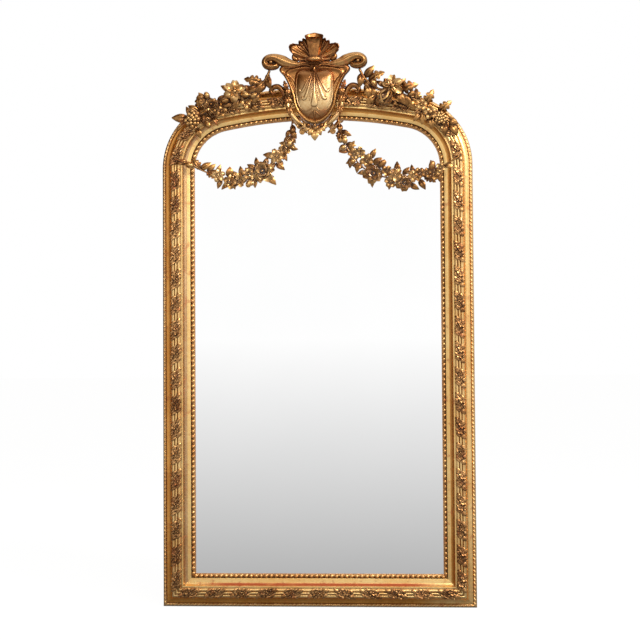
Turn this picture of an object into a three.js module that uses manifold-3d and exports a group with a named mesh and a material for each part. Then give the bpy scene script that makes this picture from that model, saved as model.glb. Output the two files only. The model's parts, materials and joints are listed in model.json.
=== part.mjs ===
// A wall mirror in a gilded, arch-topped frame with a carved crest, flower garlands and two swags.
// Millimetres. X to the right, Z up, the front faces -Y and the back lies in the plane Y = 0.
// The origin is the middle of the bottom rail's back face.
//
// Sections of the frame are drawn as [u, h]: u is the distance outwards from the sight edge (the
// edge of the visible glass), and h the height in front of the wall.

import * as THREE from 'three';
import { mergeVertices } from 'three/addons/utils/BufferGeometryUtils.js';
import Module from 'manifold-3d';

const wasm = await Module();
wasm.setup();

// ---------------------------------------------------------------- driving dimensions

const FRAME_WIDTH = 998;        // over the outer edges of the stiles
const MOULDING_WIDTH = 104;     // from sight edge to outer edge
const SPRINGING = 1352;         // height at which the stiles end and the arch begins
const SIGHT_APEX = 1504;        // highest point of the visible glass
const CORNER_RADIUS = 125;      // of the arch's tight corners, at the sight edge
const GAP = 0.3;                // between neighbouring pieces

const RAIL_HALF = MOULDING_WIDTH / 2;
const SIGHT_HALF = FRAME_WIDTH / 2 - MOULDING_WIDTH;
const SIGHT_FOOT = RAIL_HALF;

const BEAD_BED = 25;            // height of the flat that carries the bead course
const BEVEL_FOOT = 33.2;        // the bevel rises gently from beside the beads
const BEVEL_TOP = 35.6;
const FILLET_TOP = 50;
const REED_BED = 46;
const REED_TOP = 64;            // highest point of the reeds and their flower ties
const COVE_FOOT = 30;
const ROPE_BED = 27.5;
const LIP_BACK = 20;            // back of the lip that overlaps the glass
const LEDGE = 9;                // depth of the rebate for the back boards

const GLASS_THICKNESS = 4.7;
const BEAD_PITCH = 16.2;
const TIE_PITCH = 80;           // from one flower tie of the reeds to the next

// ---------------------------------------------------------------- arch geometry

// The arch has three centres: two tight corners, and a flat crown that meets them in a tangent.
const CORNER_X = SIGHT_HALF - CORNER_RADIUS;
const RISE = SIGHT_APEX - SPRINGING;
const CROWN_RADIUS = (CORNER_X ** 2 + RISE ** 2 - CORNER_RADIUS ** 2) / (2 * (RISE - CORNER_RADIUS));
const CROWN_CENTRE = SIGHT_APEX - CROWN_RADIUS;
const CROWN_HALF_ANGLE = Math.atan2(CORNER_X, SPRINGING - CROWN_CENTRE);
const LEFT_JOINT = Math.PI / 2 + CROWN_HALF_ANGLE;
const RIGHT_JOINT = Math.PI / 2 - CROWN_HALF_ANGLE;

// ---------------------------------------------------------------- materials

function finish(color, roughness, metalness) {
  return new THREE.MeshStandardMaterial({ color, roughness, metalness });
}

const FINISHES = {
  gilt: () => finish(0xb98a4a, 0.35, 0.9),
  pine: () => finish(0x8a6a45, 0.8, 0),
  silvering: () => finish(0xdfe3e4, 0.03, 1),
  iron: () => finish(0x4b4540, 0.6, 0.8),
};

const group = new THREE.Group();

function addPiece(name, geometry, finishName) {
  const mesh = new THREE.Mesh(geometry, FINISHES[finishName]());
  mesh.name = name;
  group.add(mesh);
}

// ---------------------------------------------------------------- solids

// Rings of equal count are joined by bands of triangles and closed by a cap at each end.
function loft(rings) {
  const count = rings[0].length;
  const positions = rings.flat().flatMap((point) => point.toArray());
  const index = [];
  for (let ring = 0; ring < rings.length - 1; ring += 1) {
    for (let side = 0; side < count; side += 1) {
      const a = ring * count + side;
      const b = ring * count + (side + 1) % count;
      index.push(a, b, a + count, b, b + count, a + count);
    }
  }
  const last = (rings.length - 1) * count;
  for (const [a, b, c] of capTriangles(rings[0])) index.push(a, c, b);
  for (const [a, b, c] of capTriangles(rings.at(-1))) index.push(last + a, last + b, last + c);
  return facingOut(indexed(positions, index));
}

function indexed(positions, index) {
  const geometry = new THREE.BufferGeometry();
  geometry.setAttribute('position', new THREE.Float32BufferAttribute(positions, 3));
  geometry.setIndex(index);
  return geometry;
}

// The triangles of a ring's flat cap, wound in the ring's own direction.
function capTriangles(ring) {
  const normal = new THREE.Vector3();
  ring.forEach((point, i) => {
    const next = ring[(i + 1) % ring.length];
    normal.add(new THREE.Vector3().crossVectors(point, next));
  });
  const sizes = normal.toArray().map(Math.abs);
  const dropped = sizes.indexOf(Math.max(...sizes));
  const flat = ring.map((point) => {
    const kept = point.toArray().filter((value, axis) => axis !== dropped);
    return new THREE.Vector2(...kept);
  });
  const ringTurn = THREE.ShapeUtils.area(flat);
  return THREE.ShapeUtils.triangulateShape(flat, []).map(([a, b, c]) => {
    const turn = THREE.ShapeUtils.area([flat[a], flat[b], flat[c]]);
    return turn * ringTurn > 0 ? [a, b, c] : [a, c, b];
  });
}

function signedVolume(geometry) {
  const position = geometry.getAttribute('position');
  const corner = [0, 1, 2].map(() => new THREE.Vector3());
  let volume = 0;
  for (let i = 0; i < geometry.index.count; i += 3) {
    corner.forEach((point, k) => point.fromBufferAttribute(position, geometry.index.getX(i + k)));
    volume += corner[0].dot(corner[1].clone().cross(corner[2])) / 6;
  }
  return volume;
}

function facingOut(geometry) {
  if (signedVolume(geometry) > 0) return geometry;
  const index = geometry.index;
  for (let i = 0; i < index.count; i += 3) {
    const second = index.getX(i + 1);
    index.setX(i + 1, index.getX(i + 2));
    index.setX(i + 2, second);
  }
  return geometry;
}

function solidOf(geometry) {
  const bare = geometry.clone();
  bare.deleteAttribute('normal');
  bare.deleteAttribute('uv');
  const merged = mergeVertices(bare, 1e-4);
  return new wasm.Manifold(new wasm.Mesh({
    numProp: 3,
    vertProperties: new Float32Array(merged.getAttribute('position').array),
    triVerts: new Uint32Array(merged.index.array),
  }));
}

function geometryOf(solid) {
  const mesh = solid.getMesh();
  return indexed(Array.from(mesh.vertProperties), Array.from(mesh.triVerts));
}

function joined(geometries) {
  const solids = geometries.map(solidOf);
  return solids.reduce((whole, solid) => whole.add(solid));
}

function cut(geometry, tools) {
  return geometryOf(tools.reduce((rest, tool) => rest.subtract(solidOf(tool)), solidOf(geometry)));
}

// A flat outline in X and Z, from height `back` to height `front` off the wall.
function upright(shape, back, front, options = {}) {
  const settings = { depth: front - back, bevelEnabled: false, curveSegments: 12, ...options };
  const geometry = new THREE.ExtrudeGeometry(shape, settings);
  geometry.translate(0, 0, back + (settings.bevelEnabled ? settings.bevelThickness : 0));
  return geometry.rotateX(Math.PI / 2);
}

// ---------------------------------------------------------------- runs of the frame

// A run is one stretch of the frame. Its at(t, u) is the point [x, z] at the share t of the run
// and the distance u outwards from the sight edge. A mitred end slants by one millimetre for
// each millimetre of u.
function straightRun(from, to, outward, mitreStart, mitreEnd) {
  const start = new THREE.Vector2(...from);
  const along = new THREE.Vector2(...to).sub(start);
  const length = along.length();
  along.normalize();
  const side = new THREE.Vector2(...outward);
  return {
    length,
    at(t, u) {
      const first = GAP / 2 - u * mitreStart;
      const last = length - GAP / 2 + u * mitreEnd;
      const s = THREE.MathUtils.lerp(first, last, t);
      return start.clone().addScaledVector(along, s).addScaledVector(side, u);
    },
  };
}

// Its length is measured at the distance `lane` from the sight edge.
function arcRun(centre, radius, fromAngle, toAngle, lane = RAIL_HALF) {
  const middle = radius + lane;
  const trim = Math.sign(toAngle - fromAngle) * GAP / 2 / middle;
  return {
    length: Math.abs(toAngle - fromAngle) * middle,
    at(t, u) {
      const angle = THREE.MathUtils.lerp(fromAngle + trim, toAngle - trim, t);
      const reach = radius + u;
      return new THREE.Vector2(centre[0] + reach * Math.cos(angle), centre[1] + reach * Math.sin(angle));
    },
  };
}

// Several runs end to end, as one.
function chainedRun(runs) {
  const length = runs.reduce((sum, run) => sum + run.length, 0);
  return {
    length,
    at(t, u) {
      let rest = t * length;
      for (const run of runs) {
        if (rest <= run.length || run === runs.at(-1)) return run.at(Math.min(rest / run.length, 1), u);
        rest -= run.length;
      }
      return null;
    },
  };
}

const STRAIGHT = {
  left: straightRun([-SIGHT_HALF, SIGHT_FOOT], [-SIGHT_HALF, SPRINGING], [-1, 0], 1, 0),
  right: straightRun([SIGHT_HALF, SPRINGING], [SIGHT_HALF, SIGHT_FOOT], [1, 0], 0, 1),
  bottom: straightRun([SIGHT_HALF, SIGHT_FOOT], [-SIGHT_HALF, SIGHT_FOOT], [0, -1], 1, 1),
};

function archPieces(lane) {
  return {
    left: arcRun([-CORNER_X, SPRINGING], CORNER_RADIUS, Math.PI, LEFT_JOINT, lane),
    crown: arcRun([0, CROWN_CENTRE], CROWN_RADIUS, LEFT_JOINT, RIGHT_JOINT, lane),
    right: arcRun([CORNER_X, SPRINGING], CORNER_RADIUS, RIGHT_JOINT, 0, lane),
  };
}

// The four runs of an ornament that lies the distance `lane` from the sight edge.
function ornamentRuns(lane) {
  return { ...STRAIGHT, arch: chainedRun(Object.values(archPieces(lane))) };
}

// A section [[u, h], ...] set up across a run. A skew leans it along the run: it is measured
// from `pivot`, and the run's own ends are never passed.
function ringOn(run, t, section, skew = 0, pivot = 0) {
  return section.map(([u, h]) => {
    const shifted = THREE.MathUtils.clamp(t + skew * (u - pivot) / run.length, 0, 1);
    const point = run.at(shifted, u);
    return new THREE.Vector3(point.x, -h, point.y);
  });
}

function evenSteps(count) {
  return Array.from({ length: count + 1 }, (unused, i) => i / count);
}

// ---------------------------------------------------------------- carcass mouldings

// Quarter of an ellipse from one point of a section to another: hollow where it bends inwards.
function hollow([u0, h0], [u1, h1], steps, startsFlat) {
  return evenSteps(steps).slice(1, -1).map((t) => {
    const turn = t * Math.PI / 2;
    const fast = Math.sin(turn);
    const slow = 1 - Math.cos(turn);
    const [across, up] = startsFlat ? [fast, slow] : [slow, fast];
    return [u0 + (u1 - u0) * across, h0 + (h1 - h0) * up];
  });
}

const MOULDING = [
  [18, 0], [18, LEDGE], [10, LEDGE], [10, LIP_BACK],
  [0, LIP_BACK], [0, BEAD_BED], [12.6, BEAD_BED],
  [13, BEVEL_FOOT], [24, BEVEL_TOP],
  ...hollow([24, BEVEL_TOP], [36, FILLET_TOP], 3, true),
  [36, FILLET_TOP], [42, FILLET_TOP],
  [42, REED_BED], [72, REED_BED],
  ...hollow([72, REED_BED], [88, COVE_FOOT], 4, false),
  [88, COVE_FOOT], [92, COVE_FOOT],
  [92, ROPE_BED], [101, ROPE_BED],
  [MOULDING_WIDTH, 25], [MOULDING_WIDTH, 0],
];

function moulding(run, steps) {
  return loft(evenSteps(steps).map((t) => ringOn(run, t, MOULDING)));
}

// ---------------------------------------------------------------- keys across the joints

const KEY = { length: 60, width: 14, depth: 8, offset: 61 };

// A flush pine key, or the slot that it fills, at [x, z] and turned about Y.
function keyBlock(place, play) {
  const block = new THREE.BoxGeometry(KEY.length + play, 2 * KEY.depth, KEY.width + play);
  block.rotateY(-place.angle);
  block.translate(place.x, 0, place.z);
  return block;
}

// The part of a key that lies between the wall and the given depth.
function trimToFront(geometry, depth) {
  const keep = new THREE.BoxGeometry(2 * KEY.length, depth, 2 * KEY.length);
  geometry.computeBoundingBox();
  const middle = geometry.boundingBox.getCenter(new THREE.Vector3());
  keep.translate(middle.x, -depth / 2, middle.z);
  return geometryOf(solidOf(geometry).intersect(solidOf(keep)));
}

function archKeyPlace(centreX, centreZ, radius, angle) {
  const reach = radius + KEY.offset;
  return {
    x: centreX + reach * Math.cos(angle),
    z: centreZ + reach * Math.sin(angle),
    angle: angle + Math.PI / 2,
  };
}

const CORNER_KEY_X = SIGHT_HALF + KEY.offset;
const CORNER_KEY_Z = SIGHT_FOOT - KEY.offset;

const KEY_PLACES = {
  mitre_key_left: { x: -CORNER_KEY_X, z: CORNER_KEY_Z, angle: -Math.PI / 4 },
  mitre_key_right: { x: CORNER_KEY_X, z: CORNER_KEY_Z, angle: Math.PI / 4 },
  springing_key_left: archKeyPlace(-CORNER_X, SPRINGING, CORNER_RADIUS, Math.PI),
  springing_key_right: archKeyPlace(CORNER_X, SPRINGING, CORNER_RADIUS, 0),
  crown_key_left: archKeyPlace(0, CROWN_CENTRE, CROWN_RADIUS, LEFT_JOINT),
  crown_key_right: archKeyPlace(0, CROWN_CENTRE, CROWN_RADIUS, RIGHT_JOINT),
};

function keySlots(names) {
  return names.map((name) => keyBlock(KEY_PLACES[name], 2 * GAP));
}

// ---------------------------------------------------------------- hanging plates

const PLATE = { width: 34, height: 74, thickness: 2.5, recess: 4.3, z: 1262, x: CORNER_KEY_X };
const SCREW = { head: 4, headHeight: 1.5, shank: 2, length: 14, spread: 27 };

function rectangle(width, height) {
  const shape = new THREE.Shape();
  shape.moveTo(-width / 2, -height / 2);
  shape.lineTo(width / 2, -height / 2);
  shape.lineTo(width / 2, height / 2);
  shape.lineTo(-width / 2, height / 2);
  return shape;
}

function roundHole(x, y, radius) {
  return new THREE.Path().absarc(x, y, radius, 0, 2 * Math.PI, true);
}

// The keyhole takes a hook's head below and holds its neck above. `opening` is half the angle of
// the gap through which the neck slides up, in radians.
const KEYHOLE = { headRadius: 7, headY: -6, neckRadius: 3.4, neckY: 10, opening: 0.5 };
const POCKET = { width: 20, height: 36, depth: 16 };

function keyhole() {
  const { headRadius, headY, neckRadius, neckY, opening } = KEYHOLE;
  const top = Math.PI / 2;
  const hole = new THREE.Path();
  hole.absarc(0, headY, headRadius, top + opening, top - opening + 2 * Math.PI, false);
  hole.absarc(0, neckY, neckRadius, 0, Math.PI, false);
  return hole;
}

function hangingPlate(side) {
  const shape = rectangle(PLATE.width, PLATE.height);
  shape.holes.push(keyhole());
  shape.holes.push(roundHole(0, SCREW.spread, SCREW.shank + GAP));
  shape.holes.push(roundHole(0, -SCREW.spread, SCREW.shank + GAP));
  const front = PLATE.recess - GAP;
  const plate = upright(shape, front - PLATE.thickness, front, { curveSegments: 6 });
  return plate.translate(side * PLATE.x, 0, PLATE.z);
}

function plateRecess(side) {
  const recess = upright(rectangle(PLATE.width + 2 * GAP, PLATE.height + 2 * GAP), -2, PLATE.recess);
  return recess.translate(side * PLATE.x, 0, PLATE.z);
}

function hookPocket(side) {
  const pocket = upright(rectangle(POCKET.width, POCKET.height), PLATE.recess - 1, POCKET.depth);
  return pocket.translate(side * PLATE.x, 0, PLATE.z);
}

// A body turned about an axis along Y, from a profile [[radius, h], ...] that ends on the axis.
function turned(profile, segments) {
  const points = profile.map(([radius, h]) => new THREE.Vector2(radius, -h));
  return facingOut(new THREE.LatheGeometry(points, segments));
}

function screw(x, z, grow = 0) {
  const headFront = PLATE.recess - PLATE.thickness - 2 * GAP;
  const headBack = headFront - SCREW.headHeight + GAP;
  const shank = SCREW.shank + grow;
  const tip = headFront + SCREW.length + grow;
  const profile = [
    [0, headBack], [SCREW.head - 1, headBack], [SCREW.head, headFront],
    [shank, headFront], [shank, tip - 3], [0, tip],
  ];
  return turned(profile, 6).translate(x, 0, z);
}

function screwPlaces(side) {
  return [1, -1].map((end) => [side * PLATE.x, PLATE.z + end * SCREW.spread]);
}

function stileCutters(side) {
  const holes = screwPlaces(side).map(([x, z]) => screw(x, z, GAP));
  return [plateRecess(side), hookPocket(side), ...holes];
}

// ---------------------------------------------------------------- carcass

const CURVE_STEPS = { corner: 8, crown: 7 };

function addCarcass() {
  const arch = archPieces(RAIL_HALF);
  const stileLeft = moulding(STRAIGHT.left, 1);
  const stileRight = moulding(STRAIGHT.right, 1);
  const leftKeys = keySlots(['mitre_key_left', 'springing_key_left']);
  const rightKeys = keySlots(['mitre_key_right', 'springing_key_right']);
  const mitreKeys = keySlots(['mitre_key_left', 'mitre_key_right']);
  const crownKeys = keySlots(['crown_key_left', 'crown_key_right']);
  const archLeftKeys = keySlots(['springing_key_left', 'crown_key_left']);
  const archRightKeys = keySlots(['springing_key_right', 'crown_key_right']);

  addPiece('left_stile', cut(stileLeft, [...leftKeys, ...stileCutters(-1)]), 'gilt');
  addPiece('right_stile', cut(stileRight, [...rightKeys, ...stileCutters(1)]), 'gilt');
  addPiece('bottom_rail', cut(moulding(STRAIGHT.bottom, 1), mitreKeys), 'gilt');
  addPiece('arch_left', cut(moulding(arch.left, CURVE_STEPS.corner), archLeftKeys), 'gilt');
  addPiece('arch_crown', cut(moulding(arch.crown, CURVE_STEPS.crown), crownKeys), 'gilt');
  addPiece('arch_right', cut(moulding(arch.right, CURVE_STEPS.corner), archRightKeys), 'gilt');

  for (const [name, place] of Object.entries(KEY_PLACES)) {
    addPiece(name, trimToFront(keyBlock(place, 0), KEY.depth - GAP), 'pine');
  }
}

function addHangingPlates() {
  for (const [side, word] of [[-1, 'left'], [1, 'right']]) {
    addPiece(`hanging_plate_${word}`, hangingPlate(side), 'iron');
    screwPlaces(side).forEach(([x, z], i) => {
      addPiece(`plate_screw_${word}_${i + 1}`, screw(x, z), 'iron');
    });
  }
}

// ---------------------------------------------------------------- bead course

const BEAD_MIDDLE = 7;

function beadSection(halfFoot, height) {
  const bed = BEAD_BED + GAP;
  return [[BEAD_MIDDLE - halfFoot, bed], [BEAD_MIDDLE, bed + height], [BEAD_MIDDLE + halfFoot, bed]];
}

const BEAD_NECK = beadSection(2.4, 2);
const BEAD_BELLY = beadSection(4.7, 9);

// A string of beads: the section swells at the middle of each bead and narrows between two.
function beadCourse(run) {
  const beads = Math.round(run.length / BEAD_PITCH);
  const rings = evenSteps(2 * beads).map((t, i) => ringOn(run, t, i % 2 ? BEAD_BELLY : BEAD_NECK));
  return loft(rings);
}

// ---------------------------------------------------------------- reeds with flower ties

const REED_MIDDLE = 57;
const REED_BASE = REED_BED + GAP;
const TIE_SLANT = 0.55;         // how far a tie runs along the reeds for each millimetre across

// The ties of the two halves of the frame slant opposite ways, as mirror images. The share runs
// along the run: up the left stile, over the arch, down the right stile and back along the bottom.
function tieSlant(name, share) {
  if (name === 'left') return -TIE_SLANT;
  if (name === 'right') return TIE_SLANT;
  return share < 0.5 ? -TIE_SLANT : TIE_SLANT;
}

// Three reeds side by side; a tie of leaves and flowers is laid over them at a slant.
const REEDS = [
  [43.2, REED_BASE], [46.4, 56], [52, 53.8], [57, 60.5], [62, 53.8], [67.6, 56], [70.8, REED_BASE],
];
const TIE_EDGE = [
  [43.2, REED_BASE], [45, 57], [50.5, 63], [56, 59], [62, REED_TOP], [68.5, 58], [70.8, REED_BASE],
];
const TIE_CREST = [
  [43.2, REED_BASE], [44.5, 56], [51.5, REED_TOP], [57.5, 60], [63, 62.5], [69, 57], [70.8, REED_BASE],
];

// Where the sections stand in one pitch of the pattern, as shares of it.
const TIE_PATTERN = [[0.18, REEDS], [0.25, TIE_EDGE], [0.75, TIE_CREST], [0.82, REEDS]];

function reedStrip(name, run) {
  const curved = name === 'arch';
  const ties = Math.round(run.length / TIE_PITCH);
  const rings = [ringOn(run, 0, REEDS)];
  for (let tie = 0; tie < ties; tie += 1) {
    const slant = tieSlant(name, (tie + 0.5) / ties);
    for (const [share, section] of TIE_PATTERN) {
      rings.push(ringOn(run, (tie + share) / ties, section, slant, REED_MIDDLE));
    }
    if (curved && tie < ties - 1) {
      rings.push(ringOn(run, (tie + 1) / ties, REEDS));
    }
  }
  rings.push(ringOn(run, 1, REEDS));
  return loft(rings);
}

// ---------------------------------------------------------------- rope edge

const ROPE_MIDDLE = 97;
const ROPE = [[93.2, 27.8], [93.6, 32.6], [97, 35.6], [100.4, 32.6], [100.8, 27.8]];

function ropeEdge(run, steps) {
  return loft(evenSteps(steps).map((t) => ringOn(run, t, ROPE)));
}

function addAppliedMouldings() {
  const ropeSteps = { left: 1, right: 1, bottom: 1, arch: 32 };
  for (const [name, run] of Object.entries(ornamentRuns(BEAD_MIDDLE))) {
    addPiece(`bead_course_${name}`, beadCourse(run), 'gilt');
  }
  for (const [name, run] of Object.entries(ornamentRuns(REED_MIDDLE))) {
    addPiece(`reeds_${name}`, reedStrip(name, run), 'gilt');
  }
  for (const [name, run] of Object.entries(ornamentRuns(ROPE_MIDDLE))) {
    addPiece(`rope_edge_${name}`, ropeEdge(run, ropeSteps[name]), 'gilt');
  }
}

// ---------------------------------------------------------------- glass, boards and blocks

const GLASS_EDGE = 9;           // how far the glass reaches under the lip
const BOARD_EDGE = 17;
const BOARD_COUNT = 4;
const BOARD_CHAMFER = 1.5;
const GLASS_FRONT = LIP_BACK - GAP;
const GLASS_BACK = GLASS_FRONT - GLASS_THICKNESS;

// The arched outline that lies the distance u outside the sight edge, from height `foot` up.
function archedOutline(u, foot) {
  const half = SIGHT_HALF + u;
  const shape = new THREE.Shape();
  shape.moveTo(-half, foot);
  shape.lineTo(half, foot);
  shape.absarc(CORNER_X, SPRINGING, CORNER_RADIUS + u, 0, RIGHT_JOINT, false);
  shape.absarc(0, CROWN_CENTRE, CROWN_RADIUS + u, RIGHT_JOINT, LEFT_JOINT, false);
  shape.absarc(-CORNER_X, SPRINGING, CORNER_RADIUS + u, LEFT_JOINT, Math.PI, false);
  return shape;
}

function boardOutline(low, high) {
  const half = SIGHT_HALF + BOARD_EDGE;
  const shape = new THREE.Shape();
  shape.moveTo(-half, low);
  shape.lineTo(half, low);
  shape.lineTo(half, high);
  shape.lineTo(-half, high);
  return shape;
}

function addGlassAndBack() {
  const glass = archedOutline(GLASS_EDGE, SIGHT_FOOT - GLASS_EDGE);
  addPiece('mirror_plate', upright(glass, GLASS_BACK, GLASS_FRONT, { curveSegments: 5 }), 'silvering');

  const foot = SIGHT_FOOT - BOARD_EDGE;
  const pitch = (SIGHT_APEX + BOARD_EDGE - foot) / BOARD_COUNT;
  const chamfer = {
    curveSegments: 3,
    bevelEnabled: true,
    bevelSegments: 1,
    bevelThickness: BOARD_CHAMFER,
    bevelSize: BOARD_CHAMFER,
    bevelOffset: -BOARD_CHAMFER,
  };
  for (let i = 0; i < BOARD_COUNT; i += 1) {
    const low = foot + i * pitch;
    const isTop = i === BOARD_COUNT - 1;
    const outline = isTop ? archedOutline(BOARD_EDGE, low) : boardOutline(low, low + pitch - 2 * GAP);
    const depth = LEDGE - 2 * GAP - 2 * BOARD_CHAMFER;
    const board = upright(outline, GAP, LEDGE - GAP, { ...chamfer, depth });
    addPiece(`back_board_${i + 1}`, board, 'pine');
  }
  addGlassBlocks();
}

// A wedge glued in the rebate behind the edge of the glass, its middle at the share t of a run.
const BLOCK_LENGTH = 70;
const BLOCK_SECTION = [
  [9.6, LEDGE + GAP], [9.6, GLASS_BACK - GAP], [-8, GLASS_BACK - GAP], [2, LEDGE + GAP],
];
const BLOCK_PLACES = { left: [0.2, 0.55, 0.88], right: [0.12, 0.45, 0.8], bottom: [0.3, 0.7] };

function glassBlock(run, t) {
  const half = BLOCK_LENGTH / 2 / run.length;
  return loft([ringOn(run, t - half, BLOCK_SECTION), ringOn(run, t + half, BLOCK_SECTION)]);
}

function addGlassBlocks() {
  for (const [name, places] of Object.entries(BLOCK_PLACES)) {
    places.forEach((t, i) => addPiece(`glass_block_${name}_${i + 1}`, glassBlock(STRAIGHT[name], t), 'pine'));
  }
}

// ---------------------------------------------------------------- crest

const CREST_BACK = REED_TOP + GAP;      // the crest lies on the highest points of the reeds
const CREST_SPLIT = 1682;               // level of the joint between shield and shell

function smoothPath(points) {
  return new THREE.CatmullRomCurve3(points.map(([x, z, h]) => new THREE.Vector3(x, -h, z)));
}

// A half outline from the foot to the top, made whole by its mirror image.
function mirrored(half) {
  const other = half.slice(1, -1).reverse().map(([x, z]) => [-x, z]);
  return [...half, ...other];
}

// Rings of one outline, each scaled about `middle` and set at its own height.
function relief(half, middle, levels) {
  const outline = mirrored(half);
  return loft(levels.map(([h, scale]) => outline.map(([x, z]) => (
    new THREE.Vector3(x * scale, -h, middle + (z - middle) * scale)
  ))));
}

// The block stands on the arch behind the crest and carries it.
const CREST_BLOCK = { footHalf: 60, topHalf: 46, back: 4 };

function crestBlock() {
  const reach = CROWN_RADIUS + MOULDING_WIDTH + GAP;
  const spread = Math.asin(CREST_BLOCK.footHalf / reach);
  const shape = new THREE.Shape();
  shape.absarc(0, CROWN_CENTRE, reach, Math.PI / 2 + spread, Math.PI / 2 - spread, true);
  shape.lineTo(CREST_BLOCK.topHalf, CREST_SPLIT);
  shape.lineTo(-CREST_BLOCK.topHalf, CREST_SPLIT);
  return upright(shape, CREST_BLOCK.back, CREST_BACK - GAP, { curveSegments: 3 });
}

const SHIELD_HALF = [
  [0, 1477], [26, 1486], [50, 1509], [62, 1530], [68, 1548], [71, 1568], [78, 1590], [86, 1612],
  [99, 1637], [114, 1655], [104, 1668], [80, 1679], [40, CREST_SPLIT], [0, CREST_SPLIT],
];
const SHIELD_MIDDLE = 1590;
const FIELD = 88;                       // height of the ground inside the shield's rim
const SHIELD_LEVELS = [[CREST_BACK, 0.95], [78, 1], [88, 0.985], [92.5, 0.93], [FIELD, 0.84]];

const BOSS_HALF = [
  [0, 1498], [27, 1510], [41, 1526], [52, 1548], [55, 1590], [56, 1618], [50, 1643], [30, 1652],
  [0, 1652],
];
const BOSS_MIDDLE = 1576;
const BOSS_LEVELS = [[FIELD + GAP, 1], [94, 0.97], [102, 0.8], [107, 0.45]];

// A flat band that runs along a path, with its width square to the wall, as a scroll has.
// Each station is [x, z, half thickness, half width].
function scrollBand(stations, h) {
  const corners = [[-1, -0.5], [-1, 0.5], [0, 1], [1, 0.5], [1, -0.5], [0, -1]];
  const rings = stations.map(([x, z, thick, wide], i) => {
    const [x0, z0] = stations[Math.max(i - 1, 0)];
    const [x1, z1] = stations[Math.min(i + 1, stations.length - 1)];
    const across = new THREE.Vector2(z0 - z1, x1 - x0).normalize();
    return corners.map(([a, b]) => (
      new THREE.Vector3(x + across.x * a * thick, -(h + b * wide), z + across.y * a * thick)
    ));
  });
  return loft(rings);
}

// The arm swells as it rises from the shield's top, then its end rolls over and back under
// itself. Each station is [x, z, half thickness, half width].
const VOLUTE_ARM = [
  [22, 1671, 5, 9], [42, 1671, 8, 12], [62, 1672, 11, 15], [82, 1676, 15, 17], [99, 1682, 18.5, 19],
  [116, 1690, 15.5, 20], [132, 1694, 12.5, 21], [147, 1692, 11, 21],
];
const VOLUTE_ROLL = [
  [136, 1694, 11, 21], [148, 1691.5, 10.5, 21], [156.5, 1684, 10, 20.5], [157, 1673.5, 10, 20],
  [148, 1666.5, 10, 19], [134, 1665, 9.5, 18], [123, 1669, 8.5, 16],
];
const VOLUTE_MIDDLE = 84;               // height of its centre line in front of the wall

function onSide(side, stations) {
  return stations.map(([x, z, ...rest]) => [side * x, z, ...rest]);
}

function volute(side) {
  return [VOLUTE_ARM, VOLUTE_ROLL].map((line) => scrollBand(onSide(side, line), VOLUTE_MIDDLE));
}

// One half of the shell: [angle from the horizontal, reach, height of the flute's crest].
const SHELL_HALF = [
  [0, 58, 84], [8, 64, 92], [14, 56, 84], [21, 86, 92], [28, 90, 98], [35, 85, 92], [41, 68, 84],
  [48, 82, 95], [56, 79, 92], [64, 68, 84], [70, 84, 94], [80, 90, 98], [90, 89, 100],
];

function shellCrest() {
  const rightHalf = SHELL_HALF;
  const leftHalf = SHELL_HALF.slice(0, -1).reverse().map(([angle, ...rest]) => [180 - angle, ...rest]);
  const slices = [...rightHalf, ...leftHalf].map(([angle, reach, crest]) => {
    const turn = THREE.MathUtils.degToRad(angle);
    const section = [[8, 70], [reach, 74], [reach, crest - 8], [reach * 0.66, crest], [8, 90]];
    return section.map(([r, h]) => (
      new THREE.Vector3(r * Math.cos(turn), -h, CREST_SPLIT + GAP + r * Math.sin(turn))
    ));
  });
  return loft(slices);
}

// An oval dome that lies over the joint of shield and shell.
const CABOCHON = { profile: [[0, 95.3], [30, 95.3], [29, 100], [19, 108], [0, 112]], flattening: 0.37 };

function cabochon() {
  const dome = turned(CABOCHON.profile, 14);
  return dome.scale(1, 1, CABOCHON.flattening).translate(0, 0, CREST_SPLIT + 1);
}

// A scrolled leaf that hugs the shield's side: a C-scroll on the crown, then a band down to a rosette.
const STRAP = [
  [134, 1584, 5, 6], [142, 1596, 6, 7], [124, 1611, 6, 7], [101, 1605, 6, 7], [92, 1586, 7, 7],
  [91, 1568, 8, 7], [87, 1546, 8, 7], [80, 1524, 8, 7], [66, 1504, 7, 7], [52, 1485, 6, 7],
];
const STRAP_ROSETTE = { x: 50, z: 1477, profile: [[0, 66], [9, 66], [9.5, 74], [7, 80], [0, 82]] };

function strap(side) {
  const band = scrollBand(onSide(side, STRAP), CREST_BACK + 8);
  const rosette = turned(STRAP_ROSETTE.profile, 8);
  return geometryOf(joined([band, rosette.translate(side * STRAP_ROSETTE.x, 0, STRAP_ROSETTE.z)]));
}

const PALMETTE_HALF = [
  [0, 1412], [7, 1422], [14, 1430], [17, 1441], [27, 1446], [30, 1457], [38, 1465], [33, 1473],
  [14, 1475.5], [0, 1475.5],
];
const PALMETTE_MIDDLE = 1456;
const PALMETTE_LEVELS = [[60, 0.9], [72, 1], [84, 0.85], [88, 0.4]];
const PALMETTE_TAIL = { width: 32, foot: 1441, top: SIGHT_APEX + 23 };
const PALMETTE_BALL = { radius: 6.5, x: 22, z: 1474, h: 80 };

// The drop below the shield; its tail lies on the crown's bevel and carries the shield's foot.
function pendantPalmette() {
  const { width, foot, top } = PALMETTE_TAIL;
  const { radius, x, z, h } = PALMETTE_BALL;
  const leaf = relief(PALMETTE_HALF, PALMETTE_MIDDLE, PALMETTE_LEVELS);
  const tail = upright(rectangle(width, top - foot), BEVEL_TOP + GAP, REED_TOP);
  tail.translate(0, 0, (foot + top) / 2);
  const balls = [-1, 1].map((side) => (
    new THREE.IcosahedronGeometry(radius, 0).translate(side * x, -h, z)
  ));
  return geometryOf(joined([leaf, tail, ...balls]));
}

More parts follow.
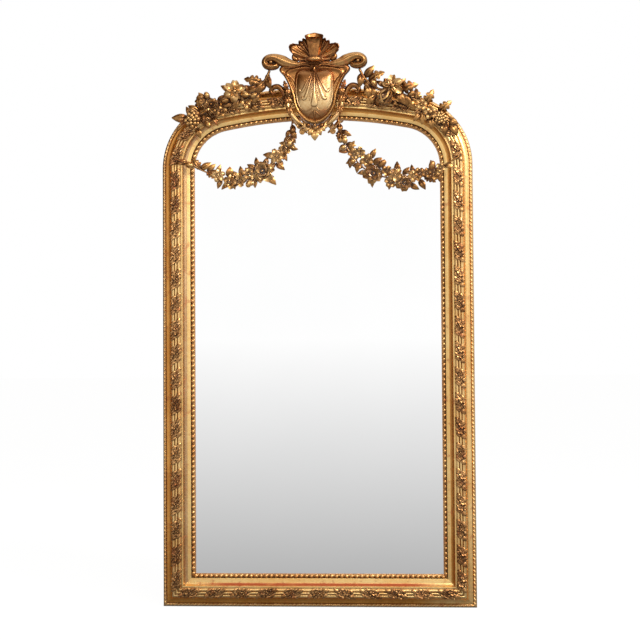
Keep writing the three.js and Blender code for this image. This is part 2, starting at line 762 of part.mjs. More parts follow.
function addCrest() {
  addPiece('crest_block', crestBlock(), 'pine');
  const shield = relief(SHIELD_HALF, SHIELD_MIDDLE, SHIELD_LEVELS);
  addPiece('cartouche', geometryOf(joined([shield, ...volute(-1), ...volute(1)])), 'gilt');
  addPiece('shield_boss', relief(BOSS_HALF, BOSS_MIDDLE, BOSS_LEVELS), 'gilt');
  addPiece('shell_crest', shellCrest(), 'gilt');
  addPiece('cabochon', cabochon(), 'gilt');
  addPiece('strap_left', strap(-1), 'gilt');
  addPiece('strap_right', strap(1), 'gilt');
  addPiece('pendant_palmette', pendantPalmette(), 'gilt');
}

// ---------------------------------------------------------------- flowers, leaves and garlands

// A closed form with a thin rim: the rim's points are fanned to one apex in front and one behind.
function rimmedForm(rim, front, back) {
  const points = [...rim, front, back];
  const index = rim.flatMap((point, i) => {
    const next = (i + 1) % rim.length;
    return [i, next, rim.length, next, i, rim.length + 1];
  });
  return facingOut(indexed(points.flatMap((point) => point.toArray()), index));
}

// A pointed leaf with a ridge, lying along +X with its tip bent forward.
function leafForm(length, width) {
  const belly = 0.42 * length;
  const rim = [
    new THREE.Vector3(-2, 0, 0),
    new THREE.Vector3(belly, -3, width / 2),
    new THREE.Vector3(length, -0.14 * length, 0),
    new THREE.Vector3(belly, -3, -width / 2),
  ];
  return rimmedForm(rim, new THREE.Vector3(belly, -6.5, 0), new THREE.Vector3(belly, 1, 0));
}

// An open flower of five petals round a sunk middle, seen from the front.
function flowerForm(radius) {
  const rim = Array.from({ length: 10 }, (unused, i) => {
    const reach = radius * (i % 2 ? 0.62 : 1);
    const turn = (i - 0.5) * Math.PI / 5;
    return new THREE.Vector3(reach * Math.cos(turn), -0.22 * radius, reach * Math.sin(turn));
  });
  return rimmedForm(rim, new THREE.Vector3(0, 0.1 * radius, 0), new THREE.Vector3(0, 0.5 * radius, 0));
}

function stemForm(curve, radius, steps, sides = 4) {
  const section = Array.from({ length: sides }, (unused, i) => {
    const turn = i * 2 * Math.PI / sides;
    return new THREE.Vector2(radius * Math.cos(turn), radius * Math.sin(turn));
  });
  const shape = new THREE.Shape(section);
  return new THREE.ExtrudeGeometry(shape, { extrudePath: curve, steps, bevelEnabled: false });
}

const TWIG_RADIUS = 2.2;

// A short twig ties a flower or berry that stands off the stem to the stem's nearest point.
function twigTo(curve, centre, slack) {
  const nearest = curve.getPoints(60).reduce((best, point) => (
    point.distanceTo(centre) < best.distanceTo(centre) ? point : best
  ));
  if (nearest.distanceTo(centre) < slack) return [];
  return [stemForm(new THREE.LineCurve3(nearest, centre), TWIG_RADIUS, 1, 3)];
}

// One casting of composition on wire: a stem with its flowers, leaves and berries.
//   flowers and berries: [x, z, h, radius]; leaves: [x, z, h, length, width, direction in degrees].
function casting({ stem, radius, steps, flowers, leaves, berries }) {
  const curve = smoothPath(stem);
  const forms = [stemForm(curve, radius, steps)];
  for (const [x, z, h, reach] of flowers) {
    forms.push(flowerForm(reach).translate(x, -h, z));
    forms.push(...twigTo(curve, new THREE.Vector3(x, -h, z), reach * 0.5));
  }
  for (const [x, z, h, length, width, direction] of leaves) {
    const leaf = leafForm(length, width).rotateY(-THREE.MathUtils.degToRad(direction));
    forms.push(leaf.translate(x, -h, z));
    forms.push(...twigTo(curve, new THREE.Vector3(x, -h, z), radius));
  }
  for (const [x, z, h, reach] of berries) {
    forms.push(new THREE.IcosahedronGeometry(reach, 0).translate(x, -h, z));
    forms.push(...twigTo(curve, new THREE.Vector3(x, -h, z), reach * 0.5));
  }
  return geometryOf(joined(forms));
}

const GARLAND_LEFT = {
  stem: [
    [-440, 1474, 68], [-404, 1506, 71], [-360, 1532, 76], [-300, 1558, 80],
    [-240, 1580, 82], [-185, 1592, 82], [-158, 1624, 84], [-140, 1652, 84],
  ],
  radius: 4,
  steps: 9,
  flowers: [[-336, 1545, 82, 17], [-298, 1530, 80, 16], [-255, 1588, 86, 29], [-217, 1556, 82, 20]],
  leaves: [
    [-406, 1510, 74, 49, 14, 176], [-370, 1528, 77, 40, 14, 158], [-345, 1536, 77, 50, 26, -115],
    [-352, 1536, 78, 46, 17, 100], [-160, 1622, 84, 56, 16, 172], [-150, 1640, 84, 44, 14, -65],
    [-205, 1588, 82, 40, 15, -90],
  ],
  berries: [[-392, 1504, 80, 11], [-404, 1492, 77, 9], [-380, 1492, 79, 9], [-386, 1516, 79, 9]],
};

const GARLAND_RIGHT = {
  stem: [
    [440, 1474, 68], [404, 1506, 71], [360, 1532, 76], [300, 1560, 80],
    [245, 1582, 82], [195, 1588, 82], [160, 1620, 84], [140, 1652, 84],
  ],
  radius: 4,
  steps: 9,
  flowers: [[247, 1590, 86, 27], [212, 1560, 82, 25], [370, 1510, 78, 17], [204, 1594, 84, 11]],
  leaves: [
    [268, 1574, 82, 60, 16, 28], [160, 1620, 84, 54, 14, 0], [350, 1536, 77, 54, 20, 48],
    [250, 1580, 82, 62, 14, -52], [392, 1514, 74, 52, 18, 40], [352, 1536, 77, 72, 20, -102],
    [416, 1496, 70, 36, 15, -25],
  ],
  berries: [[312, 1562, 81, 11], [404, 1496, 76, 10], [390, 1490, 76, 9]],
};

const SWAG_LEFT = {
  stem: [
    [-72, 1520, 39.5], [-76, 1492, 42], [-80, 1452, 46], [-92, 1415, 48], [-122, 1382, 48], [-170, 1335, 48],
    [-236, 1316, 48], [-290, 1314, 48], [-345, 1334, 48], [-400, 1358, 56], [-430, 1370, 67],
    [-452, 1380, 68.3],
  ],
  radius: 3,
  steps: 16,
  flowers: [
    [-91, 1415, 51, 18], [-124, 1382, 51, 17], [-170, 1333, 52, 28], [-244, 1316, 51, 18],
    [-278, 1311, 51, 19], [-316, 1323, 50, 15],
  ],
  leaves: [
    [-78, 1470, 44, 44, 14, -60], [-160, 1340, 48, 48, 18, -42], [-232, 1318, 48, 38, 15, 98],
    [-284, 1314, 48, 38, 15, 86], [-372, 1347, 49, 42, 15, 150], [-338, 1330, 48, 46, 14, -28],
  ],
  berries: [[-215, 1310, 49, 10]],
};

const SWAG_RIGHT = {
  stem: [
    [72, 1520, 39.5], [74, 1492, 42], [80, 1455, 46], [92, 1420, 48], [116, 1385, 48], [150, 1345, 48],
    [196, 1320, 48], [248, 1308, 48], [310, 1308, 48], [364, 1322, 48], [404, 1344, 56], [430, 1358, 67],
    [452, 1370, 68.3],
  ],
  radius: 3,
  steps: 16,
  flowers: [
    [130, 1390, 51, 15], [164, 1366, 51, 16], [182, 1322, 52, 26], [254, 1310, 51, 19],
    [280, 1296, 52, 23], [376, 1322, 51, 14],
  ],
  leaves: [
    [80, 1458, 46, 42, 14, -15], [182, 1324, 48, 50, 16, -92], [140, 1352, 48, 38, 16, 165],
    [262, 1308, 48, 42, 15, 88], [316, 1309, 48, 42, 16, 30], [342, 1314, 48, 38, 16, -60],
  ],
  berries: [[82, 1438, 47, 10], [90, 1412, 48, 10]],
};

function addGarlands() {
  addPiece('garland_left', casting(GARLAND_LEFT), 'gilt');
  addPiece('garland_right', casting(GARLAND_RIGHT), 'gilt');
  addPiece('swag_left', casting(SWAG_LEFT), 'gilt');
  addPiece('swag_right', casting(SWAG_RIGHT), 'gilt');
}

addCarcass();
addHangingPlates();
addAppliedMouldings();
addGlassAndBack();
addCrest();
addGarlands();

export default group;
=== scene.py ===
# %% [markdown]
# # A gilded wall mirror, dressed piece by piece
# The frame comes packed from the workshop drawing: plain solids at their real size and place.
# This lesson gives each of them the surface of the real thing: pressed ornament, carved wood,
# gold leaf on red clay, silvered glass and old pine. Everything is in metres, X to the right,
# Z up, and the front faces -Y.

# %% Load the frame
import json
import math
import random

import bmesh
import bpy
from mathutils import Matrix, Vector

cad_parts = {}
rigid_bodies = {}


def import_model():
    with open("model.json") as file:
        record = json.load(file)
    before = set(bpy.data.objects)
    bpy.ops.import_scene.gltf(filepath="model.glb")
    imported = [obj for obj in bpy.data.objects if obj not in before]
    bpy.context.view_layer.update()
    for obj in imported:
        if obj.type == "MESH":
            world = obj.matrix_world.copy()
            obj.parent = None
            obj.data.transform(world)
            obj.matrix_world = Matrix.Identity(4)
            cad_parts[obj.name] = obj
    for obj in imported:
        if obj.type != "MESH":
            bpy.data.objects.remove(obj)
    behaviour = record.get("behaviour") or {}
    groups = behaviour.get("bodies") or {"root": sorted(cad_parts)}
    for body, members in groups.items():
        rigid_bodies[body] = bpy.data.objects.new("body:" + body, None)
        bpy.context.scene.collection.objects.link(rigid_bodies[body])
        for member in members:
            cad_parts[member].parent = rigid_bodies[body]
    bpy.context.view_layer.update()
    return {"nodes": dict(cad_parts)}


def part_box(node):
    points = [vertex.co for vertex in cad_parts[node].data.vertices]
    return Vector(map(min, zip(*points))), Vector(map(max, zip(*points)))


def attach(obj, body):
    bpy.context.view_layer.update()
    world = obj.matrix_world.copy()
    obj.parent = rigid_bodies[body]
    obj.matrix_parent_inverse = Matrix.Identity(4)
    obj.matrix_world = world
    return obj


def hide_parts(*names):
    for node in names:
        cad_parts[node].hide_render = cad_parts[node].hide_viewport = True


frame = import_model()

print("nodes in the frame:", len(frame["nodes"]))

# %% [markdown]
# ## The drawing's own sizes
# The mouldings are swept along the edge of the visible glass, the sight edge. Its straight parts
# come from the boxes of the frame's nodes. The arch has three centres: two tight corners and a
# flat crown that meets them in a tangent, so one formula gives the crown's radius.

# %% Measure the frame
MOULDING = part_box("left_stile")[1].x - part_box("left_stile")[0].x
SIGHT_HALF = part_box("right_stile")[1].x - MOULDING
SIGHT_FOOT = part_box("left_stile")[0].z + MOULDING
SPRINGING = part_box("left_stile")[1].z
SIGHT_APEX = 1.504
CORNER_RADIUS = 0.125

CORNER_X = SIGHT_HALF - CORNER_RADIUS
RISE = SIGHT_APEX - SPRINGING
CROWN_RADIUS = (CORNER_X**2 + RISE**2 - CORNER_RADIUS**2) / (2 * (RISE - CORNER_RADIUS))
CROWN_CENTRE = SIGHT_APEX - CROWN_RADIUS
CROWN_HALF_ANGLE = math.atan2(CORNER_X, SPRINGING - CROWN_CENTRE)
LEFT_JOINT = math.pi / 2 + CROWN_HALF_ANGLE
RIGHT_JOINT = math.pi / 2 - CROWN_HALF_ANGLE
MM = 0.001
print("sight edge: half width %.4f, apex %.4f, crown radius %.3f" % (SIGHT_HALF, SIGHT_APEX, CROWN_RADIUS))

# %% [markdown]
# ## Camera
# The photograph was taken from a little below the middle of the mirror, about four and a half
# metres away and slightly to the right. The place and the turn were solved from the corners
# of the frame, so the render can be laid over the photograph.

# %% Place the camera
CAMERA_PLACE = Vector((0.31627, -4.5, 0.6959))
CAMERA_YAW, CAMERA_PITCH, CAMERA_ROLL = math.radians(-3.936), math.radians(2.0915), math.radians(-0.3689)
FOCAL_PIXELS, PHOTO_PIXELS, SENSOR = 1402.98, 640, 36


def camera_turn():
    """Camera axes as columns: right, up and backwards."""
    forward = Vector((math.sin(CAMERA_YAW) * math.cos(CAMERA_PITCH),
                      math.cos(CAMERA_YAW) * math.cos(CAMERA_PITCH), math.sin(CAMERA_PITCH)))
    right = Vector((math.cos(CAMERA_YAW), -math.sin(CAMERA_YAW), 0))
    up = right.cross(forward)
    rolled_right = math.cos(CAMERA_ROLL) * right + math.sin(CAMERA_ROLL) * up
    rolled_up = -math.sin(CAMERA_ROLL) * right + math.cos(CAMERA_ROLL) * up
    return Matrix((rolled_right, rolled_up, -forward)).transposed().to_4x4()


camera_data = bpy.data.cameras.new("camera")
camera_data.sensor_width = SENSOR
camera_data.lens = FOCAL_PIXELS / PHOTO_PIXELS * SENSOR
camera = bpy.data.objects.new("camera", camera_data)
bpy.context.collection.objects.link(camera)
camera.matrix_world = Matrix.Translation(CAMERA_PLACE) @ camera_turn()
bpy.context.scene.camera = camera
bpy.context.scene.view_settings.view_transform = "Standard"
print("lens %.1f mm" % camera_data.lens)

# %% [markdown]
# ## Shader sums as plain Python
# A finish is worked out like a sum: a Wire holds one value on its way through the nodes, and
# adding or multiplying two wires adds the Math node that does it. A Recipe adds every other node.

# %% Recipes for finishes


class Wire:
    """One value in a material. Sums and products of wires add Math nodes."""

    def __init__(self, recipe, socket):
        self.recipe = recipe
        self.socket = socket

    def maths(self, operation, first, second):
        node = self.recipe.add("ShaderNodeMath", {"operation": operation}, {0: first, 1: second})
        return node.wire()

    def __add__(self, other):
        return self.maths("ADD", self, other)

    def __sub__(self, other):
        return self.maths("SUBTRACT", self, other)

    def __rsub__(self, other):
        return self.maths("SUBTRACT", other, self)

    def __mul__(self, other):
        return self.maths("MULTIPLY", self, other)

    def __pow__(self, other):
        return self.maths("POWER", self, other)

    __radd__ = __add__
    __rmul__ = __mul__

    def clamped(self):
        return self.maths("MINIMUM", self.maths("MAXIMUM", self, 0.0), 1.0)

    def ramp(self, low, high):
        """0 below `low`, 1 above `high`, smooth between."""
        inputs = {"Value": self, "From Min": low, "From Max": high}
        return self.recipe.add("ShaderNodeMapRange", {"interpolation_type": "SMOOTHSTEP"}, inputs).wire()


class Added:
    """A node that a recipe has just added."""

    def __init__(self, recipe, node):
        self.recipe = recipe
        self.node = node

    def wire(self, output=0):
        return Wire(self.recipe, self.node.outputs[output])


class Recipe:
    """The nodes of a material or of the world, in the making."""

    def __init__(self, made):
        made.use_nodes = True
        self.made = made
        self.tree = made.node_tree
        self.tree.nodes.clear()

    def add(self, kind, settings=None, inputs=None):
        node = self.tree.nodes.new(kind)
        for key, value in (settings or {}).items():
            setattr(node, key, value)
        for key, value in (inputs or {}).items():
            if isinstance(value, Wire):
                self.tree.links.new(value.socket, node.inputs[key])
            else:
                node.inputs[key].default_value = value
        return Added(self, node)

    def place(self):
        return self.add("ShaderNodeTexCoord").wire("Object")

    def axes(self, vector=None):
        """The X, Y and Z of a point, as three wires."""
        split = self.add("ShaderNodeSeparateXYZ", None, {"Vector": vector or self.place()})
        return [split.wire(axis) for axis in "XYZ"]

    def noise(self, scale, detail=3.0, roughness=0.5, vector=None):
        inputs = {"Scale": scale, "Detail": detail, "Roughness": roughness, "Vector": vector or self.place()}
        return self.add("ShaderNodeTexNoise", None, inputs).wire("Fac")

    def blend(self, share, first, second):
        """A colour between two colours."""
        inputs = {"Factor": share, 6: first, 7: second}
        return self.add("ShaderNodeMix", {"data_type": "RGBA"}, inputs).wire(2)

    def either(self, share, first, second):
        """The first shader where the share is 0, the second where it is 1."""
        return self.add("ShaderNodeMixShader", None, {0: share, 1: first, 2: second}).wire()

    def light(self, kind, hue, strength):
        """An emission or a background of one colour."""
        return self.add(kind, None, {"Color": hue, "Strength": strength}).wire()

    def cavity(self, distance):
        """1 on open ground, less where the surface lies in a hollow."""
        return self.add("ShaderNodeAmbientOcclusion", {"samples": 6}, {"Distance": distance}).wire("AO")

    def bump(self, height, depth, strength=1.0, normal=None):
        inputs = {"Height": height, "Distance": depth, "Strength": strength}
        if normal:
            inputs["Normal"] = normal
        return self.add("ShaderNodeBump", None, inputs).wire("Normal")

    def finish(self, fixed=None, **wires):
        """Closes the recipe on one shader. Keyword names stand for sockets: base_color, roughness."""
        sockets = {key.replace("_", " ").title(): value for key, value in wires.items()}
        shader = self.add("ShaderNodeBsdfPrincipled", None, {**(fixed or {}), **sockets})
        self.add("ShaderNodeOutputMaterial", None, {"Surface": shader.wire("BSDF")})
        return self.made


def colour(red, green, blue):
    """A colour as picked on a screen, 0 to 255, turned to the renderer's linear light."""
    def linear(value):
        value /= 255
        return value / 12.92 if value <= 0.04045 else ((value + 0.055) / 1.055) ** 2.4
    return (linear(red), linear(green), linear(blue), 1.0)


# %% [markdown]
# ## Gold leaf
# Oil and water gilding is a skin of gold over red clay on white gesso. Where it is rubbed, on
# edges and high points, the clay glows through; in hollows it keeps a brown toning glaze and
# dust. So the recipe asks two questions of each point: how deep does it lie, and how much has
# it been rubbed. Ambient occlusion answers the first, noise on the object's own place the second.
# The brown and near-black that ambient occlusion lays in hollows and crevices are partly glaze
# and dust, partly painted shade. Some tones also darken with painted shade towards the top or
# bottom, and two carry painted light and shade that changes from left to right.

# %% Mix the gilding


def worn_hollow(recipe):
    """Cleaning has rubbed the bottom rail's hollow down to the clay, most of all in its middle."""
    across, _, up = recipe.axes()
    in_hollow = up.ramp(0.0150, 0.0185) * (1 - up.ramp(0.0225, 0.0265))
    near_middle = 1 - (across * across).ramp(0.08, 0.17)
    streaks = recipe.noise(9.0, 3.0, 0.5).ramp(0.12, 0.42)
    return in_hollow * near_middle * streaks


# The brown of hollows: partly toning glaze, partly painted shade.
TONING_AND_SHADE = (92, 54, 24)
# Below: red-brown for painted shade by height, red clay where the gold is rubbed, and near-black for
# crevices, partly dust and partly painted shade.
PAINTED_SHADE_BROWN, CLAY, DUST_AND_SHADE_BLACK = colour(146, 84, 36), colour(186, 86, 38), colour(38, 20, 8)
SHALLOW_RELIEF, DEEP_CARVING = (0.12, 0.62, 0.20, 0.70), (0.08, 0.50, 0.12, 0.58)


def gilding(name, leaf, deep, glaze, shine, reach, toning_and_shade=TONING_AND_SHADE, depths=SHALLOW_RELIEF,
            red_line=False, shade=None, foot=None, painted_side_light=None):
    """Gold leaf: `leaf` and `deep` are its lights and darks, `toning_and_shade` the brown in the hollows,
    partly glaze and partly painted shade.

    `glaze` is how much of it there is, `shine` the leaf's roughness, and `reach` how far in
    millimetres a point looks for walls around it. `depths` says from where to where a hollow,
    and then a crevice, begins; crevices go near-black, partly dust and partly painted shade.
    `shade` and `foot` are two heights each, between which a red-brown painted shade fades in:
    towards the top above `shade`, towards the bottom below `foot`. `painted_side_light` is (from_x, to_x,
    leaf, deep): painted light and shade by side, the gold passes over to a second tone from left
    to right.
    """
    recipe = Recipe(bpy.data.materials.new(name))
    open_sky = recipe.cavity(reach * MM)
    crevice = recipe.cavity(reach * 0.35 * MM)
    hollow = (1 - open_sky).ramp(*depths[:2]) * glaze
    crevice_dust_and_shade = (1 - crevice).ramp(*depths[2:])
    specks = recipe.noise(160.0, 5.0, 0.65)
    cloud = (recipe.noise(9.0, 4.0, 0.6) * 0.55 + specks * 0.45).ramp(0.36, 0.66)
    across, _, height = recipe.axes()
    tone = recipe.blend(cloud, colour(*deep), colour(*leaf))
    # Painted light and shade by side: from from_x to to_x the tone passes over to a second one.
    if painted_side_light:
        from_x, to_x, second_leaf, second_deep = painted_side_light
        second = recipe.blend(cloud, colour(*second_deep), colour(*second_leaf))
        tone = recipe.blend(across.ramp(from_x, to_x), tone, second)
    rubbed = (recipe.noise(34.0, 6.0, 0.7) + specks * 0.25).ramp(0.66, 0.80) * 0.5
    if red_line:
        rubbed = (rubbed + worn_hollow(recipe)).clamped()
    tone = recipe.blend(rubbed, tone, CLAY)
    # Hollows turn brown: partly toning glaze, partly painted shade.
    tone = recipe.blend((hollow * 0.85).clamped(), tone, colour(*toning_and_shade))
    # Painted shade by height: red-brown towards the top from the `shade` heights, towards the bottom from the
    # `foot` heights.
    if shade:
        tone = recipe.blend(height.ramp(*shade) * 0.78, tone, PAINTED_SHADE_BROWN)
    if foot:
        tone = recipe.blend((1 - height.ramp(*foot)) * 0.70, tone, PAINTED_SHADE_BROWN)
    # Crevices go near-black: partly dust, partly painted shade.
    tone = recipe.blend((crevice_dust_and_shade * 0.8).clamped(), tone, DUST_AND_SHADE_BLACK)
    metal = (1 - hollow * 0.45 - rubbed * 0.6 - crevice_dust_and_shade * 0.4).clamped()
    rough = (shine + specks * 0.16 + hollow * 0.25 + rubbed * 0.2).clamped()
    brushed = recipe.bump(recipe.noise(70.0, 3.0, 0.5), 0.6 * MM, 0.5)
    grained = recipe.bump(recipe.noise(650.0, 2.0, 0.6), 0.12 * MM, 0.5, brushed)
    varnish = {"Coat Weight": 0.2, "Coat Roughness": 0.16}
    return recipe.finish(varnish, base_color=tone, metallic=metal, roughness=rough, normal=grained)


# %% The tones of each part

FLAT_LEAF, FLAT_DEEP = (255, 220, 150), (248, 197, 120)
GILT_FLAT = gilding("gilding_on_mouldings", FLAT_LEAF, FLAT_DEEP, 0.7, 0.28, 9)
# Painted light and shade by side: pinkish grey at the far left, orange from there to the right.
GILT_HOLLOW = gilding("gilding_in_hollow_with_painted_side_light", (212, 174, 128), (184, 140, 94), 0.8, 0.34, 9,
                      painted_side_light=(-0.42, -0.24, (226, 164, 88), (196, 132, 60)))
# Painted light: the cove turns lighter on the right side.
GILT_COVE = gilding("burnished_gilding_in_cove_painted_lighter_right", (232, 166, 84), (202, 134, 58), 0.7, 0.24, 9,
                    painted_side_light=(0.30, 0.44, (255, 216, 148), (240, 186, 112)))
GILT_BOTTOM = gilding("gilding_on_bottom_rail", FLAT_LEAF, FLAT_DEEP, 0.7, 0.28, 9, red_line=True)
GILT_BED = gilding("toned_gilding_under_beads", (230, 174, 108), (192, 134, 76), 0.4, 0.34, 6)
GILT_PEARLS = gilding("gilding_on_pearls", (246, 198, 130), (208, 150, 86), 0.9, 0.27, 6)
GILT_ORNAMENT = gilding("gilding_on_pressed_ornament", (250, 210, 148), (214, 162, 98), 1.1, 0.26, 8)
GILT_REEDS = gilding("gilding_on_reeds", (255, 220, 154), (236, 184, 112), 0.9, 0.22, 4, (146, 80, 36))
GILT_ROPE = gilding("gilding_on_rope", (255, 218, 156), (246, 196, 128), 0.5, 0.34, 3, (150, 84, 38))
GILT_SPRAYS = gilding("gilding_on_sprays", (240, 184, 118), (134, 84, 42), 1.3, 0.20, 8,
                      depths=DEEP_CARVING)
# Painted shade: the shield's field darkens towards its top and its foot.
GILT_DOME = gilding("gilding_on_the_shield", (242, 210, 156), (212, 168, 110), 1.0, 0.22, 7,
                    shade=(1.565, 1.625), foot=(1.505, 1.545))
# Painted shade: the carving darkens towards the top, from 1.58 m up.
GILT_CARVED = gilding("gilding_on_carving", (204, 152, 90), (154, 108, 58), 1.1, 0.20, 12,
                      shade=(1.58, 1.68))
GILT_VOLUTES = gilding("gilding_on_volutes", (222, 168, 104), (148, 100, 52), 1.2, 0.18, 14)
GILT_DARK_CARVED = gilding("dark_gilding_on_carving", (184, 126, 70), (116, 72, 36), 1.2, 0.20, 12)
GILT_FLOWERS = gilding("gilding_on_flowers", (240, 192, 124), (168, 116, 60), 1.4, 0.22, 15,
                       depths=DEEP_CARVING)
GILT_LEAVES = gilding("gilding_on_leaves", (206, 152, 88), (120, 78, 38), 1.4, 0.22, 15,
                      depths=DEEP_CARVING)
print("gilding mixed in sixteen tones")

# %% [markdown]
# ## Helpers for modelling
# Every piece below starts as one of Blender's primitives and is then shaped with edit-mode steps
# and modifiers. These few helpers keep the cells short: one clears the selection, one adds a
# modifier and applies it at once, one joins copies of a form at given places.

# %% Modelling helpers


def only(*objects):
    """Selects these objects alone; the first becomes the active one."""
    if bpy.context.object and bpy.context.object.mode != "OBJECT":
        bpy.ops.object.mode_set(mode="OBJECT")
    bpy.ops.object.select_all(action="DESELECT")
    for each in objects:
        each.select_set(True)
    bpy.context.view_layer.objects.active = objects[0]


def select_everything():
    bpy.ops.mesh.select_all(action="SELECT")


def edit(piece, *steps):
    """Runs edit-mode steps on the whole mesh."""
    only(piece)
    bpy.ops.object.mode_set(mode="EDIT")
    select_everything()
    for step in steps:
        step()
    bpy.ops.object.mode_set(mode="OBJECT")


def close_seams():
    bpy.ops.mesh.remove_doubles(threshold=2e-6)
    bpy.ops.mesh.normals_make_consistent(inside=False)


def apply_modifier(piece, kind, **settings):
    only(piece)
    modifier = piece.modifiers.new(kind.lower(), kind)
    for key, value in settings.items():
        setattr(modifier, key, value)
    bpy.ops.object.modifier_apply(modifier=modifier.name)


def smooth_shade(piece, degrees=40):
    only(piece)
    bpy.ops.object.shade_smooth_by_angle(angle=math.radians(degrees))


def discard(*objects):
    for each in objects:
        bpy.data.objects.remove(each, do_unlink=True)


def finish_piece(piece, material, slot, *nodes, degrees=40):
    """Smooth shading, finish, and the frame nodes that the piece stands for."""
    smooth_shade(piece, degrees)
    if not piece.data.materials:
        piece.data.materials.append(material)
    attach(piece, "root")
    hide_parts(*nodes)


def planted(name, plants):
    """One mesh made of copies of forms; `plants` lists (form, matrix)."""
    copies = []
    for form, place in plants:
        copy = bpy.data.objects.new(name, form.data)
        bpy.context.collection.objects.link(copy)
        copy.matrix_world = place
        copies.append(copy)
    only(*copies)
    bpy.ops.object.make_single_user(object=True, obdata=True)
    bpy.ops.object.join()
    whole = bpy.context.object
    only(whole)
    bpy.ops.object.transform_apply(location=True, rotation=True, scale=True)
    whole.name = name
    whole.data.name = name
    return whole


def in_place(*forms):
    """Plants for forms that were made where they belong."""
    return [(form, Matrix.Identity(4)) for form in forms]


# %% [markdown]
# A form that bends in two directions (a petal, a scroll, a shell) is a grid whose points are sent
# to their places by a small formula of u and v, both from 0 to 1. Where the formula closes on
# itself, the doubled points are merged, so a tube or a ball has no open seam.

# %% Grids bent to shape


def shaped(name, columns, rows, place):
    bpy.ops.mesh.primitive_grid_add(x_subdivisions=columns, y_subdivisions=rows, size=2)
    piece = bpy.context.object
    piece.name = name
    piece.data.name = name
    for vertex in piece.data.vertices:
        vertex.co = place((vertex.co.x + 1) / 2, (vertex.co.y + 1) / 2)
    edit(piece, close_seams)
    return piece


def mix(a, b, t):
    return a + (b - a) * t


def bump_between(t, start, end):
    """0 outside start..end, 1 in the middle, smooth."""
    if not start < t < end:
        return 0.0
    return math.sin(math.pi * (t - start) / (end - start)) ** 2


def along_points(points, t):
    """The point at share t of a smooth line through the given points (tuples of any length)."""
    spans = len(points) - 1
    position = min(max(t, 0.0), 1.0) * spans
    i = min(int(position), spans - 1)
    f = position - i
    p0, p1 = points[max(i - 1, 0)], points[i]
    p2, p3 = points[i + 1], points[min(i + 2, spans)]
    return tuple(0.5 * (2 * b + (c - a) * f + (2 * a - 5 * b + 4 * c - d) * f**2
                        + (3 * b - a - 3 * c + d) * f**3)
                 for a, b, c, d in zip(p0, p1, p2, p3))


def wall(x, z, h):
    """A point of the frame from millimetres: across, up, and in front of the wall."""
    return Vector((x, -h, z)) * MM


def swept(name, stations, around, rows, section=None, round_ends=0.0):
    """A body along a smooth line. Stations are (x, z, h, half width, half depth) in millimetres.

    `section(angle)` gives the shape across: (sideways, forwards) as shares of the half sizes.
    `round_ends` is the share of the length over which the body grows from a point.
    """
    section = section or (lambda angle: (math.cos(angle), math.sin(angle)))

    def place(u, v):
        x, z, h, wide, deep = along_points(stations, v)
        x0, z0 = along_points(stations, v - 0.004)[:2]
        x1, z1 = along_points(stations, v + 0.004)[:2]
        along = Vector((x1 - x0, z1 - z0)).normalized()
        sideways, forwards = section(u * 2 * math.pi)
        ends = min(v, 1 - v)
        if ends < 1e-6:
            swell = 0.0
        elif ends < round_ends:
            swell = math.sqrt(max(0.0, 1 - (1 - ends / round_ends) ** 2))
        else:
            swell = 1.0
        across = sideways * wide * swell
        return wall(x - along.y * across, z + along.x * across, h + forwards * deep * swell)

    return shaped(name, around, rows, place)


# %% [markdown]
# ## Runs of the frame
# All mouldings and applied ornaments follow the sight edge at some distance from it. A Lane is
# such a line: it gives, at each length along it, a matrix whose axes are the run's direction,
# outwards, and towards the viewer. Straight lanes end in the mitre; the arch chains three arcs.

# %% Lanes along the sight edge


class Straight:
    """A straight run at the distance u outwards; each mitred end makes it longer by u."""

    def __init__(self, start, end, outward, u, mitre_start, mitre_end):
        start, end = Vector(start), Vector(end)
        self.along = (end - start).normalized()
        self.outward = Vector(outward)
        self.start = start - self.along * u * mitre_start + self.outward * u
        self.length = (end - start).length + u * (mitre_start + mitre_end)

    def at(self, s, h=0.0):
        spot = self.start + self.along * s
        return placed_frame(self.along, self.outward, spot, h)


class Arc:
    """A run round a centre, clockwise from one angle to the other."""

    def __init__(self, centre, radius, from_angle, to_angle, u):
        self.centre = Vector(centre)
        self.reach = radius + u
        self.from_angle = from_angle
        self.length = (from_angle - to_angle) * self.reach

    def at(self, s, h=0.0):
        angle = self.from_angle - s / self.reach
        outward = Vector((math.cos(angle), math.sin(angle)))
        along = Vector((math.sin(angle), -math.cos(angle)))
        return placed_frame(along, outward, self.centre + outward * self.reach, h)


class Chain:
    """Several runs one after another."""

    def __init__(self, runs):
        self.runs = runs
        self.length = sum(run.length for run in runs)

    def at(self, s, h=0.0):
        for run in self.runs[:-1]:
            if s <= run.length:
                return run.at(s, h)
            s -= run.length
        return self.runs[-1].at(s, h)


def placed_frame(along, outward, spot, h):
    """Axes along the run, outwards and towards the viewer, at the height h in front of the wall."""
    turn = Matrix(((along.x, outward.x, 0), (0, 0, -1), (along.y, outward.y, 0)))
    return Matrix.Translation((spot.x, -h, spot.y)) @ turn.to_4x4()


def arch_arcs(u):
    left = Arc((-CORNER_X, SPRINGING), CORNER_RADIUS, math.pi, LEFT_JOINT, u)
    crown = Arc((0, CROWN_CENTRE), CROWN_RADIUS, LEFT_JOINT, RIGHT_JOINT, u)
    right = Arc((CORNER_X, SPRINGING), CORNER_RADIUS, RIGHT_JOINT, 0, u)
    return [left, crown, right]


